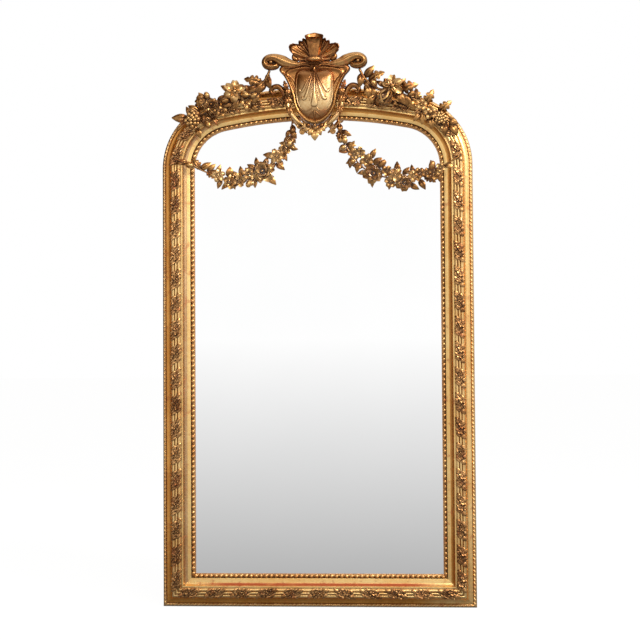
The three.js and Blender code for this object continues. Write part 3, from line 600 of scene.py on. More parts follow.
def lanes(u):
    """The four runs at the distance u outside the sight edge, clockwise from the lower left."""
    foot_left, foot_right = (-SIGHT_HALF, SIGHT_FOOT), (SIGHT_HALF, SIGHT_FOOT)
    top_left, top_right = (-SIGHT_HALF, SPRINGING), (SIGHT_HALF, SPRINGING)
    return {
        "left": Straight(foot_left, top_left, (-1, 0), u, 1, 0),
        "arch": Chain(arch_arcs(u)),
        "right": Straight(top_right, foot_right, (1, 0), u, 0, 1),
        "bottom": Straight(foot_right, foot_left, (0, -1), u, 1, 1),
    }


def stations_on(lane, pitch):
    """Even stations along a lane, as near to the wished pitch as whole numbers allow."""
    count = round(lane.length / pitch)
    return [(i + 0.5) * lane.length / count for i in range(count)]


print("length of the bead lane: %.3f m" % sum(lane.length for lane in lanes(0.007).values()))

# %% [markdown]
# ## Carcass mouldings
# The profile was planed into pine, coated with gesso and gilded. It is drawn once, as distances
# outwards from the sight edge and heights in front of the wall. The profile is a flat face,
# extruded for the straight lengths and cut at the mitres, spun about the centre for the arch.

# %% The profile


def quarter(start, end, steps, starts_flat):
    """Quarter of an ellipse between two points of the profile, bent inwards."""
    points = []
    for i in range(steps + 1):
        turn = i / steps * math.pi / 2
        fast, slow = math.sin(turn), 1 - math.cos(turn)
        across, up = (fast, slow) if starts_flat else (slow, fast)
        points.append((mix(start[0], end[0], across), mix(start[1], end[1], up)))
    return points


def eased(points, radius):
    """Takes the sharpness off each arris, as gesso does."""
    soft = []
    for i, corner in enumerate(points):
        before, here, after = Vector(points[i - 1]), Vector(corner), Vector(points[(i + 1) % len(points)])
        into, out = here - before, after - here
        if into.angle(out) < math.radians(25):
            soft.append(tuple(here))
            continue
        first = here - into.normalized() * min(radius, into.length * 0.4)
        last = here + out.normalized() * min(radius, out.length * 0.4)
        soft += [tuple(first), tuple(first * 0.25 + here * 0.5 + last * 0.25), tuple(last)]
    return soft


PROFILE = eased([
    (18, 0), (18, 9), (10, 9), (10, 20), (0, 20), (0, 25), (12.6, 25), (13, 33.2),
    (24, 35.6),
    *quarter((24, 35.6), (36, 50), 8, True)[1:],
    (42, 50), (42, 46), (72, 46),
    *quarter((72, 46), (88, 30), 10, False)[1:],
    (92, 30), (92, 27.5), (101, 27.5), (104, 25), (104, 0),
], 0.7)
print("points in the profile:", len(PROFILE))

# %% Straight lengths and arcs


def profile_face(name, profile, frame_at):
    """The profile as one flat face, stood up across a lane."""
    bpy.ops.mesh.primitive_circle_add(vertices=len(profile), fill_type="NGON")
    piece = bpy.context.object
    piece.name = name
    piece.data.name = name
    for vertex, (u, h) in zip(piece.data.vertices, profile):
        vertex.co = frame_at @ Vector((0, u * MM, h * MM))
    return piece


def straight_length(name, lane, profile, mitre_start, mitre_end):
    """Extruded past both ends, then cut square or at the mitre."""
    over = 0.15
    piece = profile_face(name, profile, lane.at(-over))
    along = (lane.at(1.0).translation - lane.at(0.0).translation).normalized()
    outward = lane.at(0.0).col[1].xyz

    def extrude():
        bpy.ops.mesh.extrude_region_move(TRANSFORM_OT_translate={"value": along * (lane.length + 2 * over)})

    def cut_at(spot, normal):
        def step():
            select_everything()
            bpy.ops.mesh.bisect(plane_co=spot, plane_no=normal, use_fill=True, clear_outer=True)
        return step

    start_normal = -along - outward * mitre_start
    end_normal = along - outward * mitre_end
    edit(piece, extrude, cut_at(lane.at(0.0).translation, start_normal),
         cut_at(lane.at(lane.length).translation, end_normal), select_everything, close_seams)
    return piece


def arc_length(name, arc, profile, steps):
    """The profile's face spun about the arc's centre."""
    piece = profile_face(name, profile, arc.at(0.0))
    turn = arc.length / arc.reach
    centre = (arc.centre.x, 0, arc.centre.y)

    def spin():
        bpy.ops.mesh.spin(steps=steps, angle=-turn, center=centre, axis=(0, 1, 0))
        select_everything()

    edit(piece, spin, close_seams)
    return piece


def open_edges(piece):
    """How many edges don't join exactly two faces: 0 for a closed body."""
    whole = bmesh.new()
    whole.from_mesh(piece.data)
    count = sum(1 for edge in whole.edges if not edge.is_manifold)
    whole.free()
    return count


def off_node(node, piece):
    """How far the piece's box lies off the node's on its worst axis, in metres."""
    low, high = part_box(node)
    corners = [piece.matrix_world @ vertex.co for vertex in piece.data.vertices]
    return max(abs(min(c[i] for c in corners) - low[i]) + abs(max(c[i] for c in corners) - high[i])
               for i in range(3))


sight = lanes(0.0)
arcs = arch_arcs(0.0)
carcass = {
    "left_stile": straight_length("stile_left", sight["left"], PROFILE, 1, 0),
    "right_stile": straight_length("stile_right", sight["right"], PROFILE, 0, 1),
    "bottom_rail": straight_length("rail_bottom", sight["bottom"], PROFILE, 1, 1),
    "arch_left": arc_length("arch_corner_left", arcs[0], PROFILE, 28),
    "arch_crown": arc_length("arch_middle", arcs[1], PROFILE, 28),
    "arch_right": arc_length("arch_corner_right", arcs[2], PROFILE, 28),
}
for node, piece in carcass.items():
    miss = off_node(node, piece) / MM
    print("%-12s open edges %d, off the frame's node by %.2f mm" % (node, open_edges(piece), miss))

# %% [markdown]
# ## Joinery in the back
# The keys that bridge the joints, and the iron plates the mirror hangs from, are let into the
# pine. The slots are cut with copies of the let-in pieces themselves, grown by a third of a
# millimetre, so that each piece sits in a slot that fits it.

# %% Cut the slots

SLOT_PLAY = 0.3 * MM


def slot_cutter(node):
    """A copy of a let-in piece, grown by the play all round."""
    source = bpy.data.objects[node]
    only(source)
    bpy.ops.object.duplicate()
    copy = bpy.context.object
    only(copy)
    bpy.ops.object.parent_clear(type="CLEAR_KEEP_TRANSFORM")
    bpy.ops.object.transform_apply(location=True, rotation=True, scale=True)
    edit(copy, close_seams, lambda: bpy.ops.transform.shrink_fatten(value=SLOT_PLAY, use_even_offset=True))
    return copy


def block_cutter(low, high):
    bpy.ops.mesh.primitive_cube_add(size=1)
    block = bpy.context.object
    for vertex in block.data.vertices:
        vertex.co = Vector(high[i] if vertex.co[i] > 0 else low[i] for i in range(3))
    return block


def cut_away(piece, cutter):
    apply_modifier(piece, "BOOLEAN", operation="DIFFERENCE", object=cutter, solver="EXACT")
    discard(cutter)


KEYED = {
    "mitre_key_left": ("left_stile", "bottom_rail"),
    "mitre_key_right": ("right_stile", "bottom_rail"),
    "springing_key_left": ("left_stile", "arch_left"),
    "springing_key_right": ("right_stile", "arch_right"),
    "crown_key_left": ("arch_left", "arch_crown"),
    "crown_key_right": ("arch_right", "arch_crown"),
}
for key, joined_pieces in KEYED.items():
    for node in joined_pieces:
        cut_away(carcass[node], slot_cutter(key))

POCKET_HALF_WIDTH, POCKET_HALF_HEIGHT, POCKET_DEPTH, SEAT_DEPTH = 0.010, 0.018, 0.016, 0.0043
for side in ("left", "right"):
    low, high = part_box("hanging_plate_" + side)
    middle = (low + high) / 2
    play = Vector((SLOT_PLAY, 0, SLOT_PLAY))
    seat_low, seat_high = low - play, high + play
    seat_low.y, seat_high.y = -SEAT_DEPTH, 0.002
    cut_away(carcass[side + "_stile"], block_cutter(seat_low, seat_high))
    reach = Vector((POCKET_HALF_WIDTH, 0, POCKET_HALF_HEIGHT))
    pocket_low, pocket_high = middle - reach, middle + reach
    pocket_low.y, pocket_high.y = -POCKET_DEPTH, -SEAT_DEPTH + 0.001
    cut_away(carcass[side + "_stile"], block_cutter(pocket_low, pocket_high))
print("slots cut; open edges:", [open_edges(piece) for piece in carcass.values()])

# %% [markdown]
# ## Pine, iron and bole
# The back is bare pine gone brown. Its grain runs along each length, so the noise is stretched
# along one axis. The outer side of the frame was never gilded: it is brushed with dark bole.

# %% Wood and iron finishes


def pine(name, grain_axis):
    recipe = Recipe(bpy.data.materials.new(name))
    squeeze = [38.0, 38.0, 38.0]
    squeeze[grain_axis] = 3.0
    lines = recipe.add("ShaderNodeMapping", None, {"Vector": recipe.place(), "Scale": squeeze}).wire()
    rings = recipe.noise(1.6, 4.0, 0.6, lines)
    fibres = recipe.noise(9.0, 3.0, 0.7, lines)
    clouds = recipe.noise(5.0, 4.0, 0.6)
    wood = recipe.blend(rings.ramp(0.35, 0.65), colour(124, 88, 56), colour(158, 120, 80))
    wood = recipe.blend((fibres.ramp(0.55, 0.8) * 0.5).clamped(), wood, colour(88, 60, 38))
    wood = recipe.blend((clouds.ramp(0.45, 0.7) * 0.55).clamped(), wood, colour(96, 72, 50))
    # Darker in its recesses, where ambient occlusion finds them.
    recess_darkening = (1 - recipe.cavity(12 * MM)).ramp(0.25, 0.9) * 0.6
    wood = recipe.blend(recess_darkening, wood, colour(44, 32, 22))
    rough = (0.72 + fibres * 0.2).clamped()
    normal = recipe.bump(rings * 0.6 + fibres * 0.4, 0.5 * MM, 0.6)
    return recipe.finish(base_color=wood, roughness=rough, normal=normal)


def dark_bole():
    recipe = Recipe(bpy.data.materials.new("bole_on_outer_side"))
    streaks = recipe.noise(24.0, 5.0, 0.7)
    worn = recipe.noise(60.0, 4.0, 0.7).ramp(0.58, 0.72)
    tint = recipe.blend(streaks.ramp(0.35, 0.65), colour(74, 42, 22), colour(108, 66, 34))
    tint = recipe.blend(worn * 0.6, tint, colour(150, 104, 56))
    normal = recipe.bump(streaks, 0.5 * MM, 0.5)
    return recipe.finish(base_color=tint, roughness=(0.5 + worn * 0.2).clamped(), normal=normal)


def rusted_iron():
    recipe = Recipe(bpy.data.materials.new("iron_lightly_rusted"))
    spots = recipe.noise(150.0, 5.0, 0.7)
    rust = spots.ramp(0.5, 0.66)
    tint = recipe.blend(rust, colour(84, 80, 76), colour(110, 66, 40))
    metal = (1 - rust).clamped()
    rough = (0.42 + rust * 0.4).clamped()
    pitted = recipe.bump(spots, 0.2 * MM, 0.6)
    return recipe.finish(base_color=tint, metallic=metal, roughness=rough, normal=pitted)


PINE_ALONG_X = pine("old_pine_grain_across", 0)
PINE_ALONG_Z = pine("old_pine_grain_upright", 2)
BOLE = dark_bole()
IRON = rusted_iron()

# %% Finish the carcass

ARC_OF = {"arch_left": arcs[0], "arch_crown": arcs[1], "arch_right": arcs[2]}


def outside_sight(node, point):
    """Distance of a point outwards from the sight edge."""
    if node in ARC_OF:
        arc = ARC_OF[node]
        return (Vector((point.x, point.z)) - arc.centre).length - arc.reach
    if node == "bottom_rail":
        return SIGHT_FOOT - point.z
    return abs(point.x) - SIGHT_HALF


FRONT, WOOD, SIDE, BED, HOLLOW, COVE = range(6)

# Millimetres outwards from the sight edge, and the height below which the rebates lie.
BED_END, HOLLOW_START, HOLLOW_END, COVE_START, SIDE_START = 12.7, 24.2, 35.6, 72.4, 102.5
REBATES_END, REBATE_FLOOR = 60, 20.2


def finish_of(node, face):
    """Which finish a face of the carcass has, told by its place in the profile."""
    u, h = outside_sight(node, face.center) / MM, -face.center.y / MM
    if face.normal.y > 0.5 or h < REBATE_FLOOR and u < REBATES_END:
        return WOOD
    if u > SIDE_START:
        return SIDE
    if u < BED_END:
        return BED
    if HOLLOW_START < u < HOLLOW_END and node != "bottom_rail":
        return HOLLOW
    return COVE if u > COVE_START else FRONT


for node, piece in carcass.items():
    front = GILT_BOTTOM if node == "bottom_rail" else GILT_FLAT
    wood = PINE_ALONG_Z if node.endswith("stile") else PINE_ALONG_X
    for material in (front, wood, BOLE, GILT_BED, GILT_HOLLOW, GILT_COVE):
        piece.data.materials.append(material)
    for face in piece.data.polygons:
        face.material_index = finish_of(node, face)
    finish_piece(piece, front, "gilt_wood", node, degrees=24)

# %% [markdown]
# ## Bead course
# A string of pearls runs round the glass. Each pearl is a low ball with few faces, since the
# course holds some three hundred of them, set on a narrow strip that joins them as the press
# mould does.

# %% Beads on their strip

BEAD_MIDDLE, BEAD_HEIGHT, BEAD_PITCH, BEAD_RADIUS = 6.8, 29.3, 16.2, 6.5


def strip(name, run, profile, arch_steps):
    """A thin moulding along one run of the frame, its profile in millimetres."""
    count = len(profile)

    def place(u, v):
        across, high = profile[round(u * (count - 1))]
        lane = lanes(across * MM)[run]
        return lane.at(v * lane.length).translation + Vector((0, -high * MM, 0))

    return shaped(name, count - 1, arch_steps if run == "arch" else 2, place)


def bead_form():
    bpy.ops.mesh.primitive_uv_sphere_add(segments=10, ring_count=6, radius=BEAD_RADIUS * MM)
    bead = bpy.context.object
    edit(bead, lambda: bpy.ops.transform.resize(value=(1.08, 0.92, 0.86)))
    smooth_shade(bead, 180)
    return bead


bead = bead_form()
bead_strip = [(2.2, 25.1), (2.2, 26.4), (4.4, 27.6), (9.6, 27.6), (11.8, 26.4), (11.8, 25.1), (2.2, 25.1)]
for name, lane in lanes(BEAD_MIDDLE * MM).items():
    ribbon = strip("bead_strip_" + name, name, bead_strip, 72)
    beads = [(bead, lane.at(s, BEAD_HEIGHT * MM)) for s in stations_on(lane, BEAD_PITCH * MM)]
    course = planted("bead_course_of_pearls_" + name, in_place(ribbon) + beads)
    discard(ribbon)
    finish_piece(course, GILT_PEARLS, "gilt_composition", "bead_course_" + name, degrees=50)
    print("%s: %d pearls" % (name, len(beads)))
discard(bead)

# %% [markdown]
# ## Rope edge
# The outer edge is a twisted rope. One strand's visible part is a slanting lobe; set in a row so
# that each tucks under the next, the lobes read as a rope.

# %% Twist the rope

ROPE_MIDDLE, ROPE_HEIGHT, ROPE_PITCH = 97.0, 29.6, 12.6
STRAND_HALF_SIZES, STRAND_SLANT, ROPE_HALF_WIDTH = (7.6 * MM, 3.5 * MM, 5.6 * MM), math.radians(-34), 3.9 * MM


def strand_form():
    bpy.ops.mesh.primitive_uv_sphere_add(segments=10, ring_count=7, radius=1.0)
    strand = bpy.context.object

    def shape():
        bpy.ops.transform.resize(value=STRAND_HALF_SIZES)
        bpy.ops.transform.rotate(value=STRAND_SLANT, orient_axis="Z", center_override=(0, 0, 0))

    edit(strand, shape)
    for vertex in strand.data.vertices:
        vertex.co.y = max(-ROPE_HALF_WIDTH, min(ROPE_HALF_WIDTH, vertex.co.y))
        vertex.co.z = max(0.0, vertex.co.z)
    smooth_shade(strand, 60)
    return strand


strand = strand_form()
rope_core = [(93.2, 27.6), (93.4, 30.6), (97, 32.4), (100.6, 30.6), (100.8, 27.6), (93.2, 27.6)]
for name, lane in lanes(ROPE_MIDDLE * MM).items():
    core = strip("rope_core_" + name, name, rope_core, 72)
    strands = [(strand, lane.at(s, ROPE_HEIGHT * MM)) for s in stations_on(lane, ROPE_PITCH * MM)]
    rope = planted("twisted_rope_" + name, in_place(core) + strands)
    discard(core)
    finish_piece(rope, GILT_ROPE, "gilt_composition", "rope_edge_" + name, degrees=60)
    print("%s: %d strands" % (name, len(strands)))
discard(strand)

# %% [markdown]
# ## Small forms pressed from moulds
# Flowers, leaves, buds and berries were pressed from a paste of whiting and glue in carved
# moulds, so the same few forms come back all over the frame. Each is made once here, lying in
# its own XY plane and facing +Z, then planted in many places.

# %% Rosette, petal and leaf


def rosette(name, radius, petals, depth=0.42):
    """A flat flower in one piece: a button, a ring and notched petals, closed at the back."""
    reaches = [0.0, 0.16, 0.24, 0.34, 0.62, 0.88, 1.0, 0.9, 0.0]
    heights = [0.60, 0.54, 0.34, 0.30, 0.62, 0.66, 0.36, 0.0, 0.0]

    def place(u, v):
        angle = u * 2 * math.pi
        lobe = abs(math.cos(petals * angle / 2)) ** 0.6
        row = round(v * (len(reaches) - 1))
        outer = max(0.0, reaches[row] - 0.3) / 0.7
        reach = radius * reaches[row] * (1 - 0.34 * outer * (1 - lobe))
        high = radius * depth * heights[row] * (1 - 0.45 * outer * (1 - lobe))
        return Vector((reach * math.cos(angle), reach * math.sin(angle), high))

    return shaped(name, 4 * petals, len(reaches) - 1, place)


def petal(name, length, width, cup, curl, columns=6, rows=6):
    """A petal from its foot at the origin along +X; `cup` lifts its edges, `curl` rolls the lip."""
    def place(u, v):
        across = 2 * u - 1
        half = width / 2 * math.sin(math.pi * (0.10 + 0.76 * v**0.9)) ** 0.65
        lift = cup * length * (v**1.4) - curl * length * max(0.0, v - 0.6) ** 1.5 * 2.6
        edge = 0.26 * width * across**2 * (1 - 0.5 * v) - 0.05 * length * math.exp(-(across / 0.3) ** 2) * v
        notch = 0.05 * length * (1 - abs(across)) * v**6
        return Vector((length * v - notch, across * half, lift + edge))

    piece = shaped(name, columns, rows, place)
    apply_modifier(piece, "SOLIDIFY", thickness=0.11 * length, offset=0)
    smooth_shade(piece, 60)
    return piece


def leaf(name, length, width, lobes=0, fold=0.28, curl=0.16, columns=8, rows=16):
    """A leaf from its stalk at the origin along +X, with a midrib, side veins and a bent tip."""
    def outline(v):
        swell = math.sin(math.pi * (0.02 + 0.97 * v) ** 0.82) ** 0.90
        if lobes:
            swell *= 0.50 + 0.62 * abs(math.sin(math.pi * lobes * v)) ** 0.7
        return swell

    def place(u, v):
        across = 2 * u - 1
        y = across * (width / 2 * outline(v) + 0.012 * length)
        edge = abs(across)
        rib = 0.085 * math.sin(math.pi * min(1.0, edge * 1.1)) * math.sin(math.pi * min(1, 0.1 + v))
        vein = 0.024 * math.sin(8 * math.pi * (v - 0.25 * edge)) * min(1.0, 3 * edge) * (1 - v)
        bend = curl * length * math.sin(math.pi * v * 0.9) - 0.45 * curl * length * v**3
        relief = (rib * (1 - 0.6 * v) + vein) * length
        return Vector((length * v, y, bend + relief - fold * abs(y) * (1 - 0.4 * v)))

    piece = shaped(name, columns, rows, place)
    apply_modifier(piece, "SOLIDIFY", thickness=0.075 * length, offset=0)
    smooth_shade(piece, 50)
    return piece


def ball(name, radius, stretch=1.0, segments=12, rings=8):
    bpy.ops.mesh.primitive_uv_sphere_add(segments=segments, ring_count=rings, radius=radius)
    piece = bpy.context.object
    piece.name = name
    for vertex in piece.data.vertices:
        share = vertex.co.z / radius
        vertex.co.z *= stretch
        vertex.co.xy *= 1 + 0.06 * share
    smooth_shade(piece, 180)
    return piece


def spin_z(degrees):
    return Matrix.Rotation(math.radians(degrees), 4, "Z")


def tilt_y(degrees):
    return Matrix.Rotation(math.radians(degrees), 4, "Y")


def roll_x(degrees):
    return Matrix.Rotation(math.radians(degrees), 4, "X")


def shift(x, y, z):
    return Matrix.Translation((x, y, z))


# %% [markdown]
# Bigger flowers are built petal by petal. A rose has three rings of petals, each ring steeper
# than the one below; an open flower has one ring and a button of small grains; a bud is a pointed
# ball held by three sepals.

# %% Roses, open flowers, buds and grapes


def open_flower(name, petals, cup, width=0.78):
    one = petal(name + "_petal", 1.0, width, cup, 0.5)
    button = ball(name + "_button", 0.17, 0.8, 10, 6)
    grain = ball(name + "_grain", 0.055, 1.0, 6, 4)
    plants = [(one, spin_z(360 * i / petals) @ shift(0.06, 0, 0) @ tilt_y(4 * (i % 2)))
              for i in range(petals)]
    plants += [(grain, spin_z(360 * i / 9) @ shift(0.24, 0, 0.13)) for i in range(9)]
    plants += [(button, shift(0, 0, 0.10))]
    flower = planted(name, plants)
    discard(one, button, grain)
    return flower


def rose(name):
    outer = petal(name + "_outer", 0.98, 0.98, 0.20, 0.75)
    middle = petal(name + "_middle", 0.72, 0.80, 0.62, 0.55)
    inner = petal(name + "_inner", 0.50, 0.62, 1.05, 0.20)
    core = ball(name + "_core", 0.15, 1.5, 8, 6)
    plants = [(outer, spin_z(72 * i) @ tilt_y(-3 * (i % 2))) for i in range(5)]
    plants += [(middle, spin_z(72 * i + 36) @ shift(0.02, 0, 0.03)) for i in range(5)]
    plants += [(inner, spin_z(120 * i + 15) @ shift(0.02, 0, 0.05)) for i in range(3)]
    plants += [(core, shift(0, 0, 0.25))]
    flower = planted(name, plants)
    discard(outer, middle, inner, core)
    return flower


def bud(name):
    """Lies along +X: a pointed ball in three sepals on a short stalk."""
    body = ball(name + "_body", 0.33, 1.45, 10, 8)
    sepal = petal(name + "_sepal", 0.72, 0.46, 0.30, 0.55, 4, 5)
    stalk = ball(name + "_stalk", 0.10, 3.0, 8, 6)
    plants = [(body, shift(0.52, 0, 0.05) @ tilt_y(90)), (stalk, shift(0.02, 0, 0.02) @ tilt_y(90))]
    plants += [(sepal, shift(0.02, 0, 0.04) @ roll_x(120 * i) @ shift(0, 0, 0.05)) for i in range(3)]
    piece = planted(name, plants)
    discard(body, sepal, stalk)
    return piece


def trumpet(name):
    """A half-open rose seen from the side: long petals wrapped round each other, along +X."""
    long_petal = petal(name + "_petal", 1.0, 0.80, 0.42, 0.95, 6, 7)
    cup = ball(name + "_cup", 0.26, 1.2, 10, 6)
    plants = [(cup, shift(0.16, 0, 0.04) @ tilt_y(90))]
    for i in range(5):
        plants.append((long_petal, shift(0.05, 0, 0.1) @ roll_x(72 * i + 20) @ shift(0, 0, 0.05)))
    piece = planted(name, plants)
    discard(long_petal, cup)
    return piece


def grapes(name, count=17):
    """A bunch of berries heaped in an oval, half a unit across."""
    berry = ball(name + "_berry", 0.15, 1.0, 10, 7)
    plants = []
    for i in range(count):
        reach = 0.42 * math.sqrt((i + 0.3) / count)
        angle = i * 2.39996
        high = 0.30 * math.sqrt(max(0.0, 1 - (reach / 0.5) ** 2))
        plants.append((berry, shift(1.25 * reach * math.cos(angle), reach * math.sin(angle), high)))
    piece = planted(name, plants)
    discard(berry)
    return piece


# %% [markdown]
# ## Reeds tied with flowers
# The broad band of the frame is a bundle of three reeds, tied every eight centimetres by a spray
# of flowers, leaves and berries that slants across it. The sprays lean the opposite way on the
# two sides of the frame's middle, so left and right mirror each other.

# %% Reeds

REED_MIDDLE, REED_BASE, REED_HALF = 57.0, 46.3, 14.6
TIE_PITCH, TIE_HEIGHT = 80.0, 47.8


# Each rod's middle, half width, foot and top.
REED_RODS = ((48.1, 4.5, 52.2, 58.2), (57.0, 4.4, 53.4, 60.2), (65.9, 4.5, 52.2, 58.2))


def reed_profile():
    """Three round rods between two thin fillets."""
    points = [(REED_MIDDLE - REED_HALF, REED_BASE), (REED_MIDDLE - REED_HALF, 51.8), (43.6, 52.2)]
    for middle, half, foot, top in REED_RODS:
        for i in range(9):
            angle = math.pi * (1 - i / 8)
            points.append((middle + half * math.cos(angle), foot + (top - foot) * math.sin(angle) ** 0.8))
    points += [(70.4, 52.2), (REED_MIDDLE + REED_HALF, 51.8), (REED_MIDDLE + REED_HALF, REED_BASE)]
    return points + points[:1]


def cushion(name, half_length, half_width, height):
    """The raised bed of a spray: an oblong pillow with a rippled edge."""
    def place(u, v):
        angle = u * 2 * math.pi
        reach = min(1.0, 1.25 * v)
        square = (math.cos(angle) ** 4 + math.sin(angle) ** 4) ** -0.25
        ripple = square * (1 + 0.07 * math.cos(11 * angle) * reach)
        high = height * math.cos(0.5 * math.pi * reach) ** 0.45 if v < 0.8 else -height * (v - 0.8)
        spread = reach * ripple
        return Vector((half_length * spread * math.cos(angle), half_width * spread * math.sin(angle), high))

    return shaped(name, 44, 10, place)


TIE_SLANT, TIE_HALF_WIDTH = 0.55, 16.5 * MM

# What lies on a tie's bed, in millimetres and degrees: flowers (x, y, height), blades laid
# straight across the reeds to close both ends (x, y, turn), and berries (x, y).
TIE_FLOWERS, TIE_SMALL_FLOWERS = ((-11, 4, 14), (11, -4, 14)), ((4, 10, 11), (-5, -10, 11))
TIE_BLADES = (
    (24, -1, 90), (24, 1, -90), (18, 0, 70), (18, 0, -110), (-24, -1, 90), (-24, 1, -90),
    (-18, 0, 110), (-18, 0, -70), (0, 2, 80), (0, -2, -100),
)
TIE_BERRIES = ((0, 3), (2, -4), (-3, -1))


def tie(name, lean, seed):
    """One spray, some 6 cm long, slanted across the reeds; `lean` is +1 or -1."""
    dice = random.Random(seed)
    bed = cushion(name + "_bed", 24 * MM, 13.8 * MM, 12 * MM)
    flower = rosette(name + "_flower", 11.5 * MM, 5, 0.62)
    small = rosette(name + "_small", 7.5 * MM, 5, 0.7)
    blade = leaf(name + "_blade", 19 * MM, 11 * MM, columns=4, rows=8, fold=0.3, curl=0.24)
    berry = ball(name + "_berry", 3.2 * MM, 1.0, 8, 6)
    forms = (bed, flower, small, blade, berry)
    for form in forms:
        form.data.materials.append(GILT_SPRAYS)
    plants = [(bed, shift(0, 0, 3 * MM))]
    for form, spots in ((flower, TIE_FLOWERS), (small, TIE_SMALL_FLOWERS)):
        for x, y, z in spots:
            slope = tilt_y(dice.uniform(-20, 20)) @ spin_z(dice.uniform(0, 72))
            plants.append((form, shift(x * MM, lean * y * MM, z * MM) @ slope))
    for x, y, turn in TIE_BLADES:
        blade_turn = spin_z(lean * turn + dice.uniform(-7, 7)) @ tilt_y(dice.uniform(2, 12))
        plants.append((blade, shift(x * MM, lean * y * MM, 11.5 * MM) @ blade_turn))
    for x, y in TIE_BERRIES:
        plants.append((berry, shift((x + dice.uniform(-1, 1)) * MM, lean * y * MM, 16 * MM)))
    spray = planted(name, plants)
    for vertex in spray.data.vertices:
        vertex.co.y = max(-TIE_HALF_WIDTH, min(TIE_HALF_WIDTH, vertex.co.y))
        vertex.co.x += lean * TIE_SLANT * vertex.co.y
    discard(*forms)
    return spray


ties = {lean: [tie("tie_%s_%d" % ("left" if lean < 0 else "right", i), lean, 7 * i + lean) for i in range(3)]
        for lean in (-1, 1)}
print("faces in one tie:", [len(form.data.polygons) for form in ties[1]])


def lean_at(name, share):
    """Which way the ties lean, so that both halves of the frame mirror each other."""
    return {"left": -1, "right": 1}.get(name, -1 if share < 0.5 else 1)


for name, lane in lanes(REED_MIDDLE * MM).items():
    rods = strip("reeds_" + name, name, reed_profile(), 80)
    rods.data.materials.append(GILT_REEDS)
    dice = random.Random(len(name))
    sprays = []
    for i, s in enumerate(stations_on(lane, TIE_PITCH * MM)):
        form = ties[lean_at(name, s / lane.length)][i % 3]
        sprays.append((form, lane.at(s, TIE_HEIGHT * MM) @ spin_z(dice.uniform(-3, 3))))
    band = planted("tied_reeds_" + name, in_place(rods) + sprays)
    discard(rods)
    finish_piece(band, GILT_REEDS, "gilt_composition", "reeds_" + name, degrees=45)
    print("%s: %d ties, %d faces" % (name, len(sprays), len(band.data.polygons)))
discard(*(form for forms in ties.values() for form in forms))

# %% [markdown]
# ## The shield
# The crest's cartouche is carved from one block: a flaring shield with two rolled rims and a
# convex field. Here it is one grid in rings: u runs round the outline, v from the outer edge to
# the middle, and the height of each ring draws the rims.

# %% Carve the shield

SHIELD_HALF = [
    (0, 1477), (26, 1486), (50, 1509), (62, 1530), (68, 1548), (71, 1568), (78, 1590), (86, 1612),
    (98, 1636), (113, 1655), (106, 1668), (80, 1676), (40, 1681), (0, 1681),
]
SHIELD_MIDDLE, BOSS_MIDDLE, GROUND = 1590.0, 1576.0, 84.0

# Rings from the back edge to the sunk ground: (share of the outline, height).
SHIELD_RINGS = [
    (0.95, 64.4), (0.985, 68), (1.0, 76), (0.998, 83), (0.985, 88.5), (0.96, 92), (0.93, 93), (0.90, 92),
    (0.87, 89.6), (0.845, 87.6), (0.825, 87.2), (0.80, 88.2), (0.775, 89), (0.75, 88.2), (0.72, 86),
    (0.70, 84.6), (0.66, GROUND),
]
BOSS_HALF = [
    (0, 1493), (16, 1495), (32, 1502), (46, 1517), (57, 1540), (61.5, 1566), (63.5, 1592), (64, 1618),
    (61, 1640), (52, 1652), (34, 1657), (0, 1658),
]


def outline_point(half, u):
    """u runs once round, from the foot up the right side and down the left."""
    side = 1 if u <= 0.5 else -1
    share = 2 * (u if u <= 0.5 else 1 - u)
    x, z = along_points(half, share)
    return side * abs(x), z


def boss_height(share):
    """The convex field inside the rims: a rounded edge, then a broad dome."""
    return GROUND + 11.0 * (1 - share**7) + 13.0 * (1 - share**2)


def shield_point(u, v):
    x, z = outline_point(SHIELD_HALF, u)
    rings_end = 0.75
    if v <= rings_end:
        share, high = along_points(SHIELD_RINGS, v / rings_end)
    else:
        share, high = 0.66 * (1 - (v - rings_end) / (1 - rings_end)), GROUND
    corner = max(0.0, (abs(x) * share - 62) / 50)
    return wall(x * share, SHIELD_MIDDLE + (z - SHIELD_MIDDLE) * share, high - 5.0 * corner)


def boss_point(u, v):
    x, z = outline_point(BOSS_HALF, u)
    if v < 0.08:
        return wall(x, z, 80 + 4 * v / 0.08)
    share = (1 - (v - 0.08) / 0.92) ** 0.8
    return wall(x * share, BOSS_MIDDLE + (z - BOSS_MIDDLE) * share, boss_height(share))


shield = shaped("shield_of_the_crest", 144, 56, shield_point)
dome = shaped("dome_of_the_shield", 120, 40, boss_point)


def close_back():
    """Fills the open edge behind a form with one face."""
    bpy.ops.mesh.select_all(action="DESELECT")
    bpy.ops.mesh.select_non_manifold()
    bpy.ops.mesh.edge_face_add()
    select_everything()
    bpy.ops.mesh.normals_make_consistent(inside=False)


edit(shield, close_back)
edit(dome, close_back)
print("shield: open edges", open_edges(shield), open_edges(dome))

# %% [markdown]
# The volutes roll outwards from the shield's upper corners. A volute is a band whose folds all run
# into its eye, so its section is a rounded bar with three furrows, and the bar grows thinner as it
# winds in.

# %% Roll the volutes

VOLUTE_LINE = [
    (22, 1671, 78, 5, 9), (42, 1671, 80, 8, 12), (62, 1672, 82, 11, 15), (82, 1676, 83, 15, 17),
    (99, 1682, 84, 18.5, 19), (116, 1690, 85, 15.5, 20), (132, 1694, 86, 12.5, 21),
    (147, 1692, 87, 11.5, 21), (157, 1684, 87, 10.5, 20.5), (157, 1673, 87, 10.5, 20),
    (148, 1666, 86, 10.5, 19), (134, 1664.5, 85, 10, 18), (122, 1668, 83, 9.5, 16), (117, 1676, 80, 8, 12),
]


